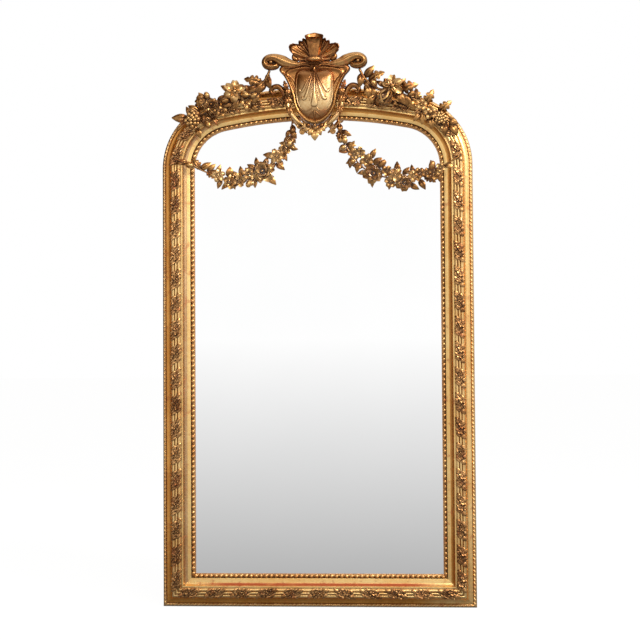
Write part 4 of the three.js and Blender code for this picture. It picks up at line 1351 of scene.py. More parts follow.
def furrowed(angle):
    """A rounded bar; the side that faces the viewer has furrows."""
    reach = 1 - 0.10 * (0.5 + 0.5 * math.cos(6 * angle)) ** 2
    return math.cos(angle) * reach, math.sin(angle) * reach


def mirror_line(stations, side):
    return [(side * station[0],) + tuple(station[1:]) for station in stations]


shield.data.materials.append(GILT_CARVED)
dome.data.materials.append(GILT_DOME)
crest_parts = in_place(shield, dome)
for side in (-1, 1):
    volute = swept("volute", mirror_line(VOLUTE_LINE, side), 42, 120, furrowed, 0.03)
    eye = ball("volute_eye", 6.4 * MM, 1.0, 18, 12)
    web = ball("volute_web", 21 * MM, 1.0, 24, 16)
    for form in (volute, eye):
        form.data.materials.append(GILT_VOLUTES)
    crest_parts += in_place(volute)
    crest_parts += [(eye, Matrix.Translation(wall(side * 139, 1679, 92))),
                    (web, Matrix.Translation(wall(side * 138, 1680, 77)) @ Matrix.Diagonal((1, 0.4, 1, 1)))]

# %% [markdown]
# Drapery enriches the shield's head: it hangs from a knot in the middle to the upper corners. Knot
# and drapery are thin bodies, swept along a line and sunk into the wood.

# %% Drapery lines and knot

DRAPERY = [
    (3, 1656, 94, 1.4, 4), (12, 1663, 93.5, 2.4, 4.5), (26, 1669, 92.5, 2.8, 4.5), (44, 1667, 91, 2.8, 4.5),
    (60, 1663, 90, 3.0, 4.5), (80, 1662, 88, 3.0, 4.5), (104, 1660, 85, 2.0, 4),
]
KNOT = [(0, 1666, 92, 2.4, 4), (0, 1660, 95, 4.6, 6), (0, 1653, 96, 5.0, 6), (0, 1645, 97, 2.0, 3)]
for side in (-1, 1):
    crest_parts += in_place(swept("drapery", mirror_line(DRAPERY, side), 12, 40, None, 0.1))
crest_parts += in_place(swept("knot", KNOT, 14, 20, None, 0.2))

for form, place in crest_parts:
    if not form.data.materials:
        form.data.materials.append(GILT_DARK_CARVED)
cartouche = planted("carved_cartouche", crest_parts)
discard(*(form for form, place in crest_parts))
finish_piece(cartouche, GILT_CARVED, "gilt_wood", "cartouche", degrees=50)
print("cartouche: %d faces" % len(cartouche.data.polygons))

# %% [markdown]
# ## The boss and its palmette
# The field of the shield carries an engraved border and a palmette that hangs from the top: a
# stem that swells to a drop, and two pairs of leaves that curl outwards. The ridges follow the
# field, so their height is taken from the field's own formula.

# %% Ridges on the boss


def field_at(x, z):
    """Height of the dome in front of the wall, found by shrinking its outline to the point."""
    aim = math.atan2(x, BOSS_MIDDLE - z)
    edges = [outline_point(BOSS_HALF, i / 240) for i in range(241)]
    edge_x, edge_z = min(edges, key=lambda edge: abs(math.atan2(edge[0], BOSS_MIDDLE - edge[1]) - aim))
    share = math.hypot(x, z - BOSS_MIDDLE) / math.hypot(edge_x, edge_z - BOSS_MIDDLE)
    return boss_height(min(1.0, share))


def ridge(name, line, rise):
    """A ridge on the field. The line lists (x, z, half width); `rise` is how far it stands out."""
    stations = [(x, z, field_at(x, z) - 1.0, half, rise + 1.0) for x, z, half in line]
    return swept(name, stations, 12, 8 * len(line), None, 0.12)


STEM_AND_DROP = [
    (0, 1645, 2.4), (0, 1624, 3.2), (0, 1600, 3.8), (0, 1576, 5.6), (0, 1554, 9.6), (0, 1540, 11.8),
    (0, 1530, 6.5),
]
INNER_CURL = [
    (4, 1643, 1.6), (10.5, 1618, 3.0), (17, 1594, 4.4), (23, 1574, 5.6), (29, 1560, 6.2), (35.5, 1558, 5.2),
    (38, 1567, 3.0),
]
OUTER_CURL = [
    (7, 1642, 1.6), (17, 1622, 3.0), (26, 1604, 4.2), (33, 1590, 4.8), (39.5, 1581, 4.8), (45.5, 1583, 3.8),
    (46, 1592, 2.2),
]
INNER_VEIN = [(2.5, 1643, 1.4), (5.5, 1614, 1.8), (9.5, 1588, 2.0), (13.5, 1564, 2.4), (15.5, 1549, 1.4)]
BORDER = [
    (18, 1652, 0.9), (36, 1650, 1.3), (49, 1643, 1.5), (56, 1623, 1.9), (57.5, 1598, 1.9), (57, 1572, 1.9),
    (52, 1546, 1.9), (41, 1527, 1.8), (27, 1520, 1.8), (13, 1524, 1.9), (7.5, 1531, 1.8), (9.5, 1538, 1.2),
]
FOOT_LEAF = [(0, 1522, 1.6), (0, 1514, 3.8), (0, 1506, 4.4), (0, 1497, 1.4)]
FOOT_SIDE = [(3, 1519, 1.2), (9, 1513, 2.4), (15, 1507, 2.6), (20, 1501, 1.2)]

# What comes back on both sides: name, line, and how far it stands out.
PAIRED_RIDGES = [
    ("inner_curl", INNER_CURL, 4.2), ("outer_curl", OUTER_CURL, 4.0), ("vein", INNER_VEIN, 3.0),
    ("border", BORDER, 1.7), ("foot_side", FOOT_SIDE, 2.8),
]

boss_parts = [ridge("drop", STEM_AND_DROP, 4.6), ridge("foot_leaf", FOOT_LEAF, 3.4)]
for side in (-1, 1):
    for title, line, rise in PAIRED_RIDGES:
        boss_parts.append(ridge(title, mirror_line(line, side), rise))
boss = planted("palmette_on_the_shield", in_place(*boss_parts))
discard(*boss_parts)
finish_piece(boss, GILT_DOME, "gilt_wood", "shield_boss", degrees=60)
print("palmette: %d faces" % len(boss.data.polygons))

# %% [markdown]
# ## The shell
# Above the shield stands a shell of flutes: a tall trumpet in the middle whose mouth opens
# towards the viewer, two thin ribs on each side of it, and a broad ribbed lobe that leans out.
# The fan is one grid in polar form: u is the angle, v runs from the foot to the lip.

# %% Fan of the shell

SHELL_FOOT_Z, SHELL_BACK = 1682.3, 72.0

# Angle from the right, reach of the lip, height of the flute in front of the wall.
FAN = [
    (0, 50, 80), (7, 60, 84), (13, 62, 84), (18, 74, 90), (23, 86, 96), (28, 91, 98), (33, 92, 97),
    (38, 88, 93), (43, 80, 86), (47, 74, 83), (50, 78, 90), (53, 80, 92), (56, 77, 87), (58.5, 74, 85),
    (61, 78, 92), (64, 79, 92), (67, 76, 86), (70, 72, 80), (80, 60, 76), (90, 56, 76),
]


def from_side(angle):
    """The fan is the same left and right, so its angle counts from the nearer side."""
    return angle if angle <= 90 else 180 - angle


def fan_at(angle):
    """Reach and crest height at an angle, read from the list with a soft step between."""
    mirrored = from_side(angle)
    for (a0, r0, h0), (a1, r1, h1) in zip(FAN, FAN[1:]):
        if mirrored <= a1:
            t = (mirrored - a0) / (a1 - a0)
            t = t * t * (3 - 2 * t)
            return mix(r0, r1, t), mix(h0, h1, t)
    return FAN[-1][1:]


def fan_point(u, v):
    """v: 0 to 0.75 over the front from foot to lip, then back behind the lip to the foot."""
    angle = u * 180
    reach, crest = fan_at(angle)
    ribs = 1.6 * bump_between(from_side(angle), 13, 46) * math.cos(math.radians(from_side(angle)) * 36)
    turn = math.radians(angle)
    if v <= 0.75:
        t = v / 0.75
        r = mix(14, reach, t)
        lip = 4.5 * bump_between(t, 0.86, 1.08) + 3.0 * bump_between(t, 0.90, 1.02)
        high = mix(88, crest, t**0.8) - 7 * math.sin(math.pi * t**1.2) * 0.8 + ribs * t + lip
    else:
        t = (v - 0.75) / 0.25
        r = mix(reach, 14, t**2)
        high = mix(crest - 4, SHELL_BACK, min(1.0, t * 2.2))
    return wall(r * math.cos(turn), SHELL_FOOT_Z + r * math.sin(turn), high)


fan = shaped("fan", 144, 32, fan_point)
edit(fan, close_back)

# %% The trumpet and its mouth

# Rings from the foot over the lip into the mouth: (height, half width, half depth, how far ahead).
TRUMPET_RINGS = [
    (1684, 13, 8, 0), (1700, 16.5, 10, 1), (1718, 20, 12, 2), (1735, 23.5, 13, 3), (1747, 26.5, 15, 5),
    (1755, 29.5, 18, 8), (1760, 31, 20, 10), (1761, 29.5, 18.5, 10), (1756, 25.5, 14.5, 7),
    (1744, 20, 11, 4), (1731, 12, 7, 3), (1727, 0.01, 0.01, 3),
]


def trumpet_point(u, v):
    """u goes round; v climbs the outside, turns over the lip and goes down inside."""
    angle = u * 2 * math.pi
    z, wide, deep, ahead = along_points(TRUMPET_RINGS, v)
    tip = 0.5 + 0.5 * math.sin(angle)
    mouth = max(0.0, min(1.0, (v - 0.35) / 0.25))
    lift = mouth * (tip * 21.0 - 11.0) * (1 if v < 0.8 else 1 - (v - 0.8) / 0.2)
    waist = 1 - 0.10 * abs(math.cos(angle)) ** 6 * mouth * tip
    flutes = 1 + 0.035 * math.cos(7 * angle) * (1 - mouth)
    point_up = 2.5 * mouth * math.exp(-((angle - math.pi / 2) / 0.35) ** 2)
    return wall(wide * waist * flutes * math.cos(angle), z + lift + point_up,
                88 + ahead - deep * flutes * math.sin(angle))


def turned(name, around, rows, place):
    """A form in rings that shrink to a point: the point is welded and the back closed."""
    piece = shaped(name, around, rows, place)
    apply_modifier(piece, "WELD", merge_threshold=0.05 * MM)
    edit(piece, close_back)
    return piece


cup = turned("trumpet_of_the_shell", 56, 66, trumpet_point)

# %% Nubs beside the shell

NUB = [
    (50, 1686, 80, 5, 8), (58, 1688, 82, 7.5, 10), (65, 1693, 83, 7.5, 10), (66, 1700, 83, 5.5, 9),
    (61, 1702, 83, 4, 8),
]
shell_parts = [fan, cup] + [swept("nub", mirror_line(NUB, side), 14, 24, None, 0.2) for side in (-1, 1)]
shell = planted("shell_above_the_shield", in_place(*shell_parts))
discard(*shell_parts)
finish_piece(shell, GILT_DARK_CARVED, "gilt_wood", "shell_crest", degrees=50)

# %% [markdown]
# ## Cabochon, straps and pendant
# An oval cabochon lies where shell and shield meet. Leafy straps leave the shield's lower sides,
# cross over the moulding and end in spiral rosettes; between them two dark balls hold a pendant
# of small leaves.

# %% Cabochon in its collar

# From the top of the dome over the collar to the back: (half width, height).
CABOCHON_RINGS = [
    (0.01, 117), (9, 116.4), (17, 114), (22.5, 109), (25, 103), (26.5, 102), (28.5, 103.5), (30, 102),
    (31, 97), (31, 88),
]
CABOCHON_Z, CABOCHON_FLATNESS = 1683.5, 0.36


def cabochon_point(u, v):
    angle = u * 2 * math.pi
    reach, high = along_points(CABOCHON_RINGS, v)
    return wall(reach * math.cos(angle), CABOCHON_Z + CABOCHON_FLATNESS * reach * math.sin(angle), high)


cabochon = turned("oval_cabochon", 48, 36, cabochon_point)
finish_piece(cabochon, GILT_VOLUTES, "gilt_wood", "cabochon", degrees=60)

# %% Straps beside the shield

# The straps' lines, (x, z, h, half width, half depth), then the leaves, (x, z, h, turn, length).
STRAP_BAND = [
    (74, 1586, 76, 4, 5), (83, 1568, 78, 6.5, 7), (86, 1547, 79, 7.5, 9), (81, 1526, 79, 7.5, 9),
    (70, 1508, 80, 7.5, 9), (58, 1494, 80, 7.5, 9), (48, 1485, 80, 6, 8), (40, 1482, 78, 4, 6),
]
STRAP_INNER = [
    (70, 1545, 82, 2, 4), (74, 1528, 83, 3.2, 6), (66, 1508, 83, 3.6, 6), (52, 1492, 83, 3.6, 6),
    (40, 1479, 82, 3.6, 6), (33, 1472, 80, 2, 4),
]
STRAP_SCROLL = [
    (96, 1556, 72, 5, 6), (98, 1578, 72, 8, 8), (105, 1594, 72, 9, 9), (119, 1604, 72, 9, 9.5),
    (134, 1601, 72, 8.5, 9), (141, 1590, 72, 7, 8), (134, 1582, 72, 5.5, 7), (127, 1587, 72, 4, 6),
]
SIDE_LEAVES = [
    (88, 1588, 80, 74, 34), (86, 1566, 79, 88, 36), (84, 1545, 78, 262, 40), (94, 1580, 74, 250, 46),
]
# From the middle of the rosette outwards and to its back: (reach, height).
SPIRAL_RINGS = [
    (0.01, 11.5), (2, 11.2), (3.6, 9.0), (5.4, 10.4), (7.0, 9.0), (8.6, 9.2), (9.8, 7.4), (9.9, 2),
    (9.4, 0),
]


def spiral_point(u, v):
    """A disc whose face winds up in a spiral ridge."""
    angle = u * 2 * math.pi
    reach, high = along_points(SPIRAL_RINGS, v)
    winding = 0.9 * math.sin(angle + reach * 1.5) * (1 if reach < 9 else 0)
    return Vector((reach * math.cos(angle), reach * math.sin(angle), high + winding)) * MM


FACING = Matrix(((1, 0, 0, 0), (0, 0, -1, 0), (0, 1, 0, 0), (0, 0, 0, 1)))


def spot(x, z, h, turn=0.0, size=1.0, nod=0.0, lean=0.0):
    """Places a form on the frame: turned in the wall's plane, then nodded and leaned off it."""
    place = Matrix.Translation(wall(x, z, h)) @ FACING @ spin_z(turn)
    return place @ roll_x(lean) @ tilt_y(nod) @ Matrix.Scale(size, 4)


spiral = turned("spiral", 36, 24, spiral_point)
spiral.data.materials.append(GILT_ORNAMENT)
carved_leaf = leaf("carved_leaf", 1.0, 0.46, lobes=4, curl=0.22, columns=10, rows=20)
carved_leaf.data.materials.append(GILT_DARK_CARVED)
for side, word in ((-1, "left"), (1, "right")):
    parts = []
    for line in (STRAP_BAND, STRAP_INNER, STRAP_SCROLL):
        parts.append(swept("band", mirror_line(line, side), 18, 70, furrowed, 0.06))
        parts[-1].data.materials.append(GILT_DARK_CARVED if line is STRAP_SCROLL else GILT_ORNAMENT)
    plants = in_place(*parts) + [(spiral, spot(side * 50, 1477, 70))]
    for x, z, h, turn, length in SIDE_LEAVES:
        aim = turn if side > 0 else 180 - turn
        plants.append((carved_leaf, spot(side * x, z, h, aim, length * MM, -8)))
    strap = planted("leafy_strap_" + word, plants)
    discard(*parts)
    finish_piece(strap, GILT_DARK_CARVED, "gilt_wood", "strap_" + word, degrees=50)

# %% Pendant below the shield

PENDANT_LEAVES = [
    (22, 1478, 80, -20, 20), (16, 1472, 82, -40, 22), (8, 1466, 84, -62, 25), (28, 1480, 76, 20, 14),
]
PENDANT_TAIL = [(0, 1530, 56, 14, 8), (0, 1500, 56, 16, 9), (0, 1476, 62, 14, 9), (0, 1462, 66, 8, 6)]

small_leaf = leaf("small_leaf", 1.0, 0.78, curl=0.26, fold=0.16, columns=8, rows=12)
small_leaf.data.materials.append(GILT_ORNAMENT)
dark_ball = ball("dark_ball", 8 * MM, 1.0, 18, 12)
dark_ball.data.materials.append(GILT_DARK_CARVED)
plants = [(small_leaf, spot(0, 1460, 84, -90, 33 * MM, -6))]
for side in (-1, 1):
    for x, z, h, aim, length in PENDANT_LEAVES:
        turn = aim if side > 0 else 180 - aim
        plants.append((small_leaf, spot(side * x, z, h, turn, length * MM, -4)))
    plants.append((dark_ball, spot(side * 21.5, 1475, 86)))
tail = swept("pendant_tail", PENDANT_TAIL, 16, 20, None, 0.1)
knob = ball("knob", 6 * MM, 1.2, 14, 10)
for form in (tail, knob):
    form.data.materials.append(GILT_CARVED)
plants += in_place(tail) + [(knob, spot(0, 1475, 88))]
pendant = planted("pendant_of_leaves", plants)
discard(tail, knob, dark_ball, small_leaf, spiral)
finish_piece(pendant, GILT_CARVED, "gilt_wood", "pendant_palmette", degrees=50)
pendant.visible_glossy = False
print("the pendant reaches down to %.4f m" % min(vertex.co.z for vertex in pendant.data.vertices))

# %% [markdown]
# ## Garlands and swags
# Four castings on wire hang from the volutes: two garlands that lie on the arch's shoulders, and
# two free swags that cross the glass below it. Each is a stem with flowers, leaves, buds and
# berries planted along it. The lists below are the florist's notes: what, where, how big and
# which way it looks. Numbers are millimetres and degrees.

# %% The flower library

LIBRARY = {
    "rose": rose("rose"),
    "daisy": open_flower("daisy", 6, 0.16),
    "flower": open_flower("flower", 5, 0.34, 0.86),
    "trumpet": trumpet("trumpet"),
    "bud": bud("bud"),
    "grapes": grapes("grapes"),
    "leaf": leaf("leaf", 1.0, 0.50, curl=0.20, columns=8, rows=14),
    "round": leaf("round", 1.0, 0.74, curl=0.18, fold=0.16, columns=8, rows=12),
    "lobed": leaf("lobed", 1.0, 0.56, lobes=4, curl=0.20, columns=10, rows=20),
    "berry": ball("berry", 1.0, 1.0, 14, 9),
}
LEAVES = ("leaf", "lobed", "round")
TONES = {"daisy": GILT_ORNAMENT, **{title: GILT_LEAVES for title in LEAVES}}
for title, form in LIBRARY.items():
    form.data.materials.append(TONES.get(title, GILT_FLOWERS))
print("faces:", {title: len(form.data.polygons) for title, form in LIBRARY.items()})


def casting(name, node, stem, radius, notes, seed, grow=1.0):
    """One casting on its wire, which runs through the points of `stem`.

    `notes` lists (form, x, z, h, size, turn, nod, lean); values left out at the end fall as they
    may. `grow` makes everything but the leaves larger.
    """
    dice = random.Random(seed)
    line = [(x, z, h, radius, radius) for x, z, h in stem]
    wire = swept(name + "_stem", line, 8, 14 * len(stem), None, 0.02)
    wire.data.materials.append(GILT_LEAVES)
    plants = in_place(wire)
    for form, x, z, h, size, *rest in notes:
        turn, nod, lean = (rest + [None] * 3)[:3]
        turn = dice.uniform(0, 360) if turn is None else turn
        nod = dice.uniform(-14, 14) if nod is None else nod
        lean = dice.uniform(-18, 18) if lean is None else lean
        h += -7 if form in LEAVES else 5
        size *= 1.0 if form in LEAVES else grow
        plants.append((LIBRARY[form], spot(x, z, h, turn, size * MM, nod, lean)))
    piece = planted(name, plants)
    discard(wire)
    finish_piece(piece, GILT_FLOWERS, "gilt_composition", node, degrees=50)
    # The free swags throw no image on the glass, which shows the plain studio alone.
    piece.visible_glossy = not node.startswith("swag")
    print("%s: %d forms, %d faces" % (name, len(plants), len(piece.data.polygons)))


# %% Left garland

casting("garland_on_left_shoulder", "garland_left", [
    (-446, 1470, 66), (-404, 1504, 70), (-360, 1530, 76), (-300, 1558, 80), (-240, 1580, 82),
    (-185, 1592, 82), (-158, 1624, 84), (-143, 1655, 84),
], 4.2, [
    ("leaf", -408, 1508, 74, 52, 176, -8), ("leaf", -372, 1528, 77, 40, 150, -8),
    ("leaf", -396, 1516, 76, 34, 120, -10), ("grapes", -391, 1502, 72, 52, 60, 0, 0),
    ("leaf", -380, 1478, 72, 36, -70, -6), ("lobed", -352, 1524, 76, 44, -92, -6),
    ("lobed", -332, 1514, 76, 38, -58, -6), ("lobed", -366, 1536, 78, 46, 96, -12),
    ("leaf", -352, 1560, 78, 36, 128, -10), ("leaf", -340, 1556, 80, 34, 160, -14),
    ("rose", -330, 1546, 80, 28), ("leaf", -312, 1562, 78, 30, 40, -12),
    ("bud", -338, 1566, 80, 26, 118, -10), ("flower", -298, 1526, 80, 17),
    ("bud", -300, 1556, 80, 30, 20, -10), ("leaf", -300, 1562, 80, 40, 8, -12),
    ("daisy", -255, 1588, 90, 33), ("leaf", -272, 1592, 80, 34, 150, -8),
    ("leaf", -238, 1594, 80, 34, 24, -8), ("leaf", -250, 1576, 82, 42, -96, -10),
    ("leaf", -232, 1572, 82, 40, -50, -8), ("bud", -236, 1584, 84, 32, -20, -16),
    ("flower", -219, 1560, 82, 19), ("bud", -217, 1550, 84, 26, -90, -6),
    ("leaf", -204, 1550, 80, 30, -50, -6), ("bud", -206, 1566, 82, 28, 30, -14),
    ("leaf", -262, 1560, 80, 44, -150, -8), ("lobed", -168, 1616, 84, 58, 168, -14),
    ("leaf", -172, 1604, 84, 50, 200, -8), ("leaf", -152, 1636, 84, 46, -70, -14),
    ("leaf", -160, 1622, 84, 52, 236, -12), ("leaf", -146, 1644, 84, 28, -120, -10),
    ("leaf", -182, 1592, 82, 46, -110, -10), ("leaf", -180, 1590, 82, 50, 180, -4),
    ("bud", -350, 1500, 74, 32, -60, -10), ("berry", -345, 1530, 86, 6), ("berry", -320, 1528, 86, 6),
], 3)

# %% Right garland

casting("garland_on_right_shoulder", "garland_right", [
    (446, 1462, 66), (404, 1504, 71), (360, 1532, 76), (300, 1560, 80), (245, 1582, 82), (200, 1590, 82),
    (162, 1620, 84), (142, 1655, 84),
], 4.2, [
    ("lobed", 268, 1586, 82, 62, 14, -12), ("daisy", 246, 1594, 94, 33),
    ("leaf", 222, 1598, 80, 32, 150, -8), ("leaf", 262, 1600, 80, 34, 40, -10), ("berry", 247, 1594, 98, 7),
    ("berry", 228, 1600, 92, 6.5), ("bud", 196, 1596, 84, 26, 130, -16),
    ("trumpet", 236, 1580, 84, 46, -125, -14), ("rose", 219, 1552, 80, 25),
    ("leaf", 196, 1572, 82, 46, -140, -6), ("leaf", 254, 1582, 84, 56, -56, -12),
    ("leaf", 270, 1570, 82, 54, -40, -8), ("berry", 311, 1571, 84, 9), ("bud", 296, 1562, 82, 26, 30, -20),
    ("leaf", 290, 1556, 80, 44, -50, -6), ("leaf", 240, 1548, 80, 30, -20, -8),
    ("leaf", 262, 1544, 79, 30, -30, -8), ("lobed", 348, 1540, 78, 52, 60, -14),
    ("lobed", 330, 1546, 78, 44, 100, -10), ("flower", 338, 1536, 80, 19), ("flower", 366, 1508, 79, 20),
    ("berry", 366, 1510, 92, 6), ("lobed", 392, 1516, 75, 52, 38, -16),
    ("grapes", 398, 1492, 72, 40, -50, 0, 0), ("lobed", 352, 1520, 76, 48, -104, -8),
    ("lobed", 368, 1504, 76, 46, -84, -10), ("leaf", 334, 1512, 76, 34, -130, -6),
    ("leaf", 420, 1492, 70, 38, -28, -10), ("leaf", 428, 1480, 68, 46, -62, -6),
    ("leaf", 408, 1480, 70, 40, -90, -6), ("flower", 398, 1472, 72, 13),
    ("lobed", 172, 1614, 84, 58, 22, -16), ("leaf", 160, 1628, 84, 46, 50, -14),
    ("leaf", 150, 1640, 84, 46, -100, -8), ("leaf", 165, 1606, 84, 48, -80, -8),
    ("leaf", 176, 1600, 82, 46, -66, -4), ("leaf", 186, 1594, 82, 40, 150, -6),
], 5)

# %% Left swag

casting("swag_over_the_glass_left", "swag_left", [
    (-70, 1516, 44), (-76, 1490, 44), (-80, 1452, 46), (-92, 1415, 48), (-122, 1382, 48), (-170, 1335, 48),
    (-236, 1316, 48), (-290, 1314, 48), (-345, 1334, 48), (-400, 1358, 56), (-430, 1370, 66),
    (-456, 1382, 67),
], 2.6, [
    ("leaf", -76, 1486, 46, 34, -78, -10), ("leaf", -78, 1470, 48, 34, -60, -12),
    ("leaf", -80, 1470, 48, 30, -120, -8), ("leaf", -80, 1452, 48, 30, -60, -8),
    ("leaf", -82, 1450, 48, 34, -130, -8), ("bud", -84, 1440, 50, 24, -90, -14),
    ("leaf", -88, 1424, 48, 30, 170, -12), ("flower", -84, 1420, 52, 15), ("flower", -98, 1406, 52, 16),
    ("leaf", -82, 1412, 48, 26, -10, -12), ("leaf", -98, 1404, 48, 32, -100, -10),
    ("leaf", -110, 1396, 48, 32, -60, -10), ("daisy", -125, 1384, 54, 18),
    ("leaf", -130, 1384, 50, 40, 172, -12), ("leaf", -118, 1376, 48, 34, -80, -10),
    ("leaf", -134, 1370, 48, 34, -120, -10), ("leaf", -128, 1364, 48, 36, -40, -8),
    ("rose", -168, 1334, 52, 28), ("leaf", -184, 1350, 50, 34, 100, -14),
    ("leaf", -166, 1350, 48, 36, 70, -12), ("leaf", -158, 1326, 48, 44, -48, -8),
    ("leaf", -190, 1320, 48, 40, 215, -8), ("leaf", -190, 1342, 48, 36, 150, -12),
    ("berry", -207, 1298, 54, 7), ("leaf", -196, 1312, 50, 28, -90, -10), ("flower", -216, 1328, 54, 16),
    ("bud", -208, 1312, 50, 24, -110, -10), ("leaf", -224, 1320, 48, 28, -120, -8),
    ("leaf", -236, 1322, 50, 34, 100, -14), ("flower", -246, 1308, 54, 17),
    ("leaf", -250, 1318, 48, 32, 140, -10), ("flower", -276, 1302, 52, 17),
    ("round", -280, 1320, 50, 34, 88, -14), ("leaf", -264, 1304, 48, 24, -80, -8),
    ("leaf", -290, 1300, 48, 24, -130, -10), ("daisy", -314, 1326, 52, 17),
    ("leaf", -320, 1332, 48, 32, 70, -12), ("leaf", -306, 1314, 48, 32, -110, -10),
    ("lobed", -352, 1338, 50, 48, -30, -10), ("leaf", -350, 1340, 50, 36, 40, -14),
    ("lobed", -372, 1348, 52, 42, 130, -12), ("leaf", -370, 1346, 52, 40, 30, -10),
    ("bud", -388, 1354, 54, 26, 160, -8), ("leaf", -412, 1366, 62, 36, 165, -8),
    ("leaf", -425, 1370, 66, 28, 200, -6),
], 11, 1.28)

# %% Right swag

casting("swag_over_the_glass_right", "swag_right", [
    (70, 1516, 44), (74, 1490, 44), (80, 1455, 46), (92, 1420, 48), (116, 1385, 48), (150, 1345, 48),
    (196, 1320, 48), (248, 1308, 48), (310, 1308, 48), (364, 1322, 48), (404, 1344, 56), (430, 1358, 66),
    (456, 1372, 67),
], 2.6, [
    ("leaf", 74, 1488, 46, 34, -80, -8), ("lobed", 78, 1466, 48, 34, -100, -10),
    ("leaf", 80, 1462, 48, 38, -22, -14), ("bud", 84, 1448, 50, 26, -60, -12), ("berry", 80, 1432, 52, 7.5),
    ("berry", 92, 1440, 54, 7), ("berry", 88, 1408, 54, 7.5), ("leaf", 96, 1420, 48, 34, -10, -14),
    ("leaf", 94, 1420, 48, 30, -130, -8), ("leaf", 104, 1400, 48, 30, 190, -10),
    ("leaf", 108, 1396, 48, 38, 60, -14), ("flower", 122, 1386, 54, 15), ("flower", 140, 1392, 52, 14),
    ("leaf", 116, 1380, 48, 38, -100, -8), ("berry", 118, 1362, 54, 8),
    ("leaf", 138, 1360, 50, 34, -100, -10), ("leaf", 128, 1370, 48, 34, 200, -8),
    ("flower", 162, 1366, 54, 17), ("leaf", 176, 1374, 50, 34, 60, -14),
    ("round", 186, 1352, 50, 34, 40, -14), ("leaf", 150, 1348, 48, 36, 170, -8),
    ("rose", 182, 1322, 54, 26), ("leaf", 182, 1306, 50, 26, -92, -8), ("leaf", 164, 1330, 48, 32, 190, -8),
    ("bud", 200, 1344, 52, 26, 40, -14), ("flower", 226, 1330, 54, 14), ("berry", 218, 1340, 54, 6.5),
    ("leaf", 232, 1320, 48, 30, 110, -12), ("flower", 238, 1296, 52, 15),
    ("leaf", 236, 1294, 48, 22, -100, -8), ("daisy", 253, 1316, 56, 19),
    ("leaf", 262, 1322, 50, 40, 92, -12), ("leaf", 278, 1316, 50, 34, 50, -14), ("rose", 280, 1292, 54, 22),
    ("leaf", 300, 1290, 50, 34, -30, -8), ("daisy", 312, 1314, 54, 17),
    ("leaf", 312, 1322, 50, 30, 100, -12), ("flower", 330, 1322, 54, 14),
    ("leaf", 330, 1304, 48, 38, -60, -10), ("lobed", 346, 1312, 50, 40, -30, -10),
    ("flower", 352, 1322, 54, 13), ("bud", 366, 1330, 52, 26, 80, -14), ("flower", 374, 1318, 52, 16),
    ("leaf", 376, 1332, 50, 34, 110, -12), ("leaf", 386, 1330, 50, 36, -80, -10),
    ("flower", 396, 1338, 56, 12), ("leaf", 408, 1346, 60, 34, -10, -10),
], 13, 1.25)
discard(carved_leaf, *LIBRARY.values())

# %% [markdown]
# ## Mirror glass
# The plate is old silvered glass: nearly perfect, a touch grey, with the faintest waviness. Its
# mesh is the frame's own node; only its finish is set here.

# %% Silver the glass


def silvered_glass():
    recipe = Recipe(bpy.data.materials.new("silvered_glass"))
    haze = recipe.noise(3.0, 3.0, 0.5)
    tint = recipe.blend(haze.ramp(0.3, 0.8), (0.985, 0.987, 0.987, 1), (1.0, 1.0, 1.0, 1))
    waves = recipe.bump(recipe.noise(2.2, 1.0, 0.4), 0.05 * MM, 0.15)
    rough = (0.004 + haze * 0.006).clamped()
    return recipe.finish({"Metallic": 1.0}, base_color=tint, roughness=rough, normal=waves)


def dress(node, material):
    """Gives a node of the frame its finish and leaves its mesh alone."""
    data = bpy.data.objects[node].data
    data.materials.clear()
    data.materials.append(material)


dress("mirror_plate", silvered_glass())

# %% [markdown]
# ## Backs, keys and iron
# The back boards run across, the blocks that hold the glass and the keys are pine too. Only
# the hanging plates and their screws are iron.

# %% Finish the back

for name in frame["nodes"]:
    if name.startswith(("back_board", "mitre_key", "crown_key", "glass_block_bottom")):
        dress(name, PINE_ALONG_X)
    elif name.startswith(("springing_key", "glass_block", "crest_block")):
        dress(name, PINE_ALONG_Z)
    elif name.startswith(("hanging_plate", "plate_screw")):
        dress(name, IRON)

# %% [markdown]
# ## Studio
# The mirror stands before a white ground. What the glass shows is a white room above and a
# floor that grows darker towards the viewer, so its reflection fades from white to grey. The
# gold needs contrast: a darker room with one big soft light, high up on the right.

# %% Floor

FLOOR_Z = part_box("bottom_rail")[0].z
MIRROR_CAMERA_GAP = -CAMERA_PLACE.y
# The floor's grey in the photographed glass, as a line through 1 / distance.
GREY_FAR, GREY_FALL = 0.92686, 2.37864


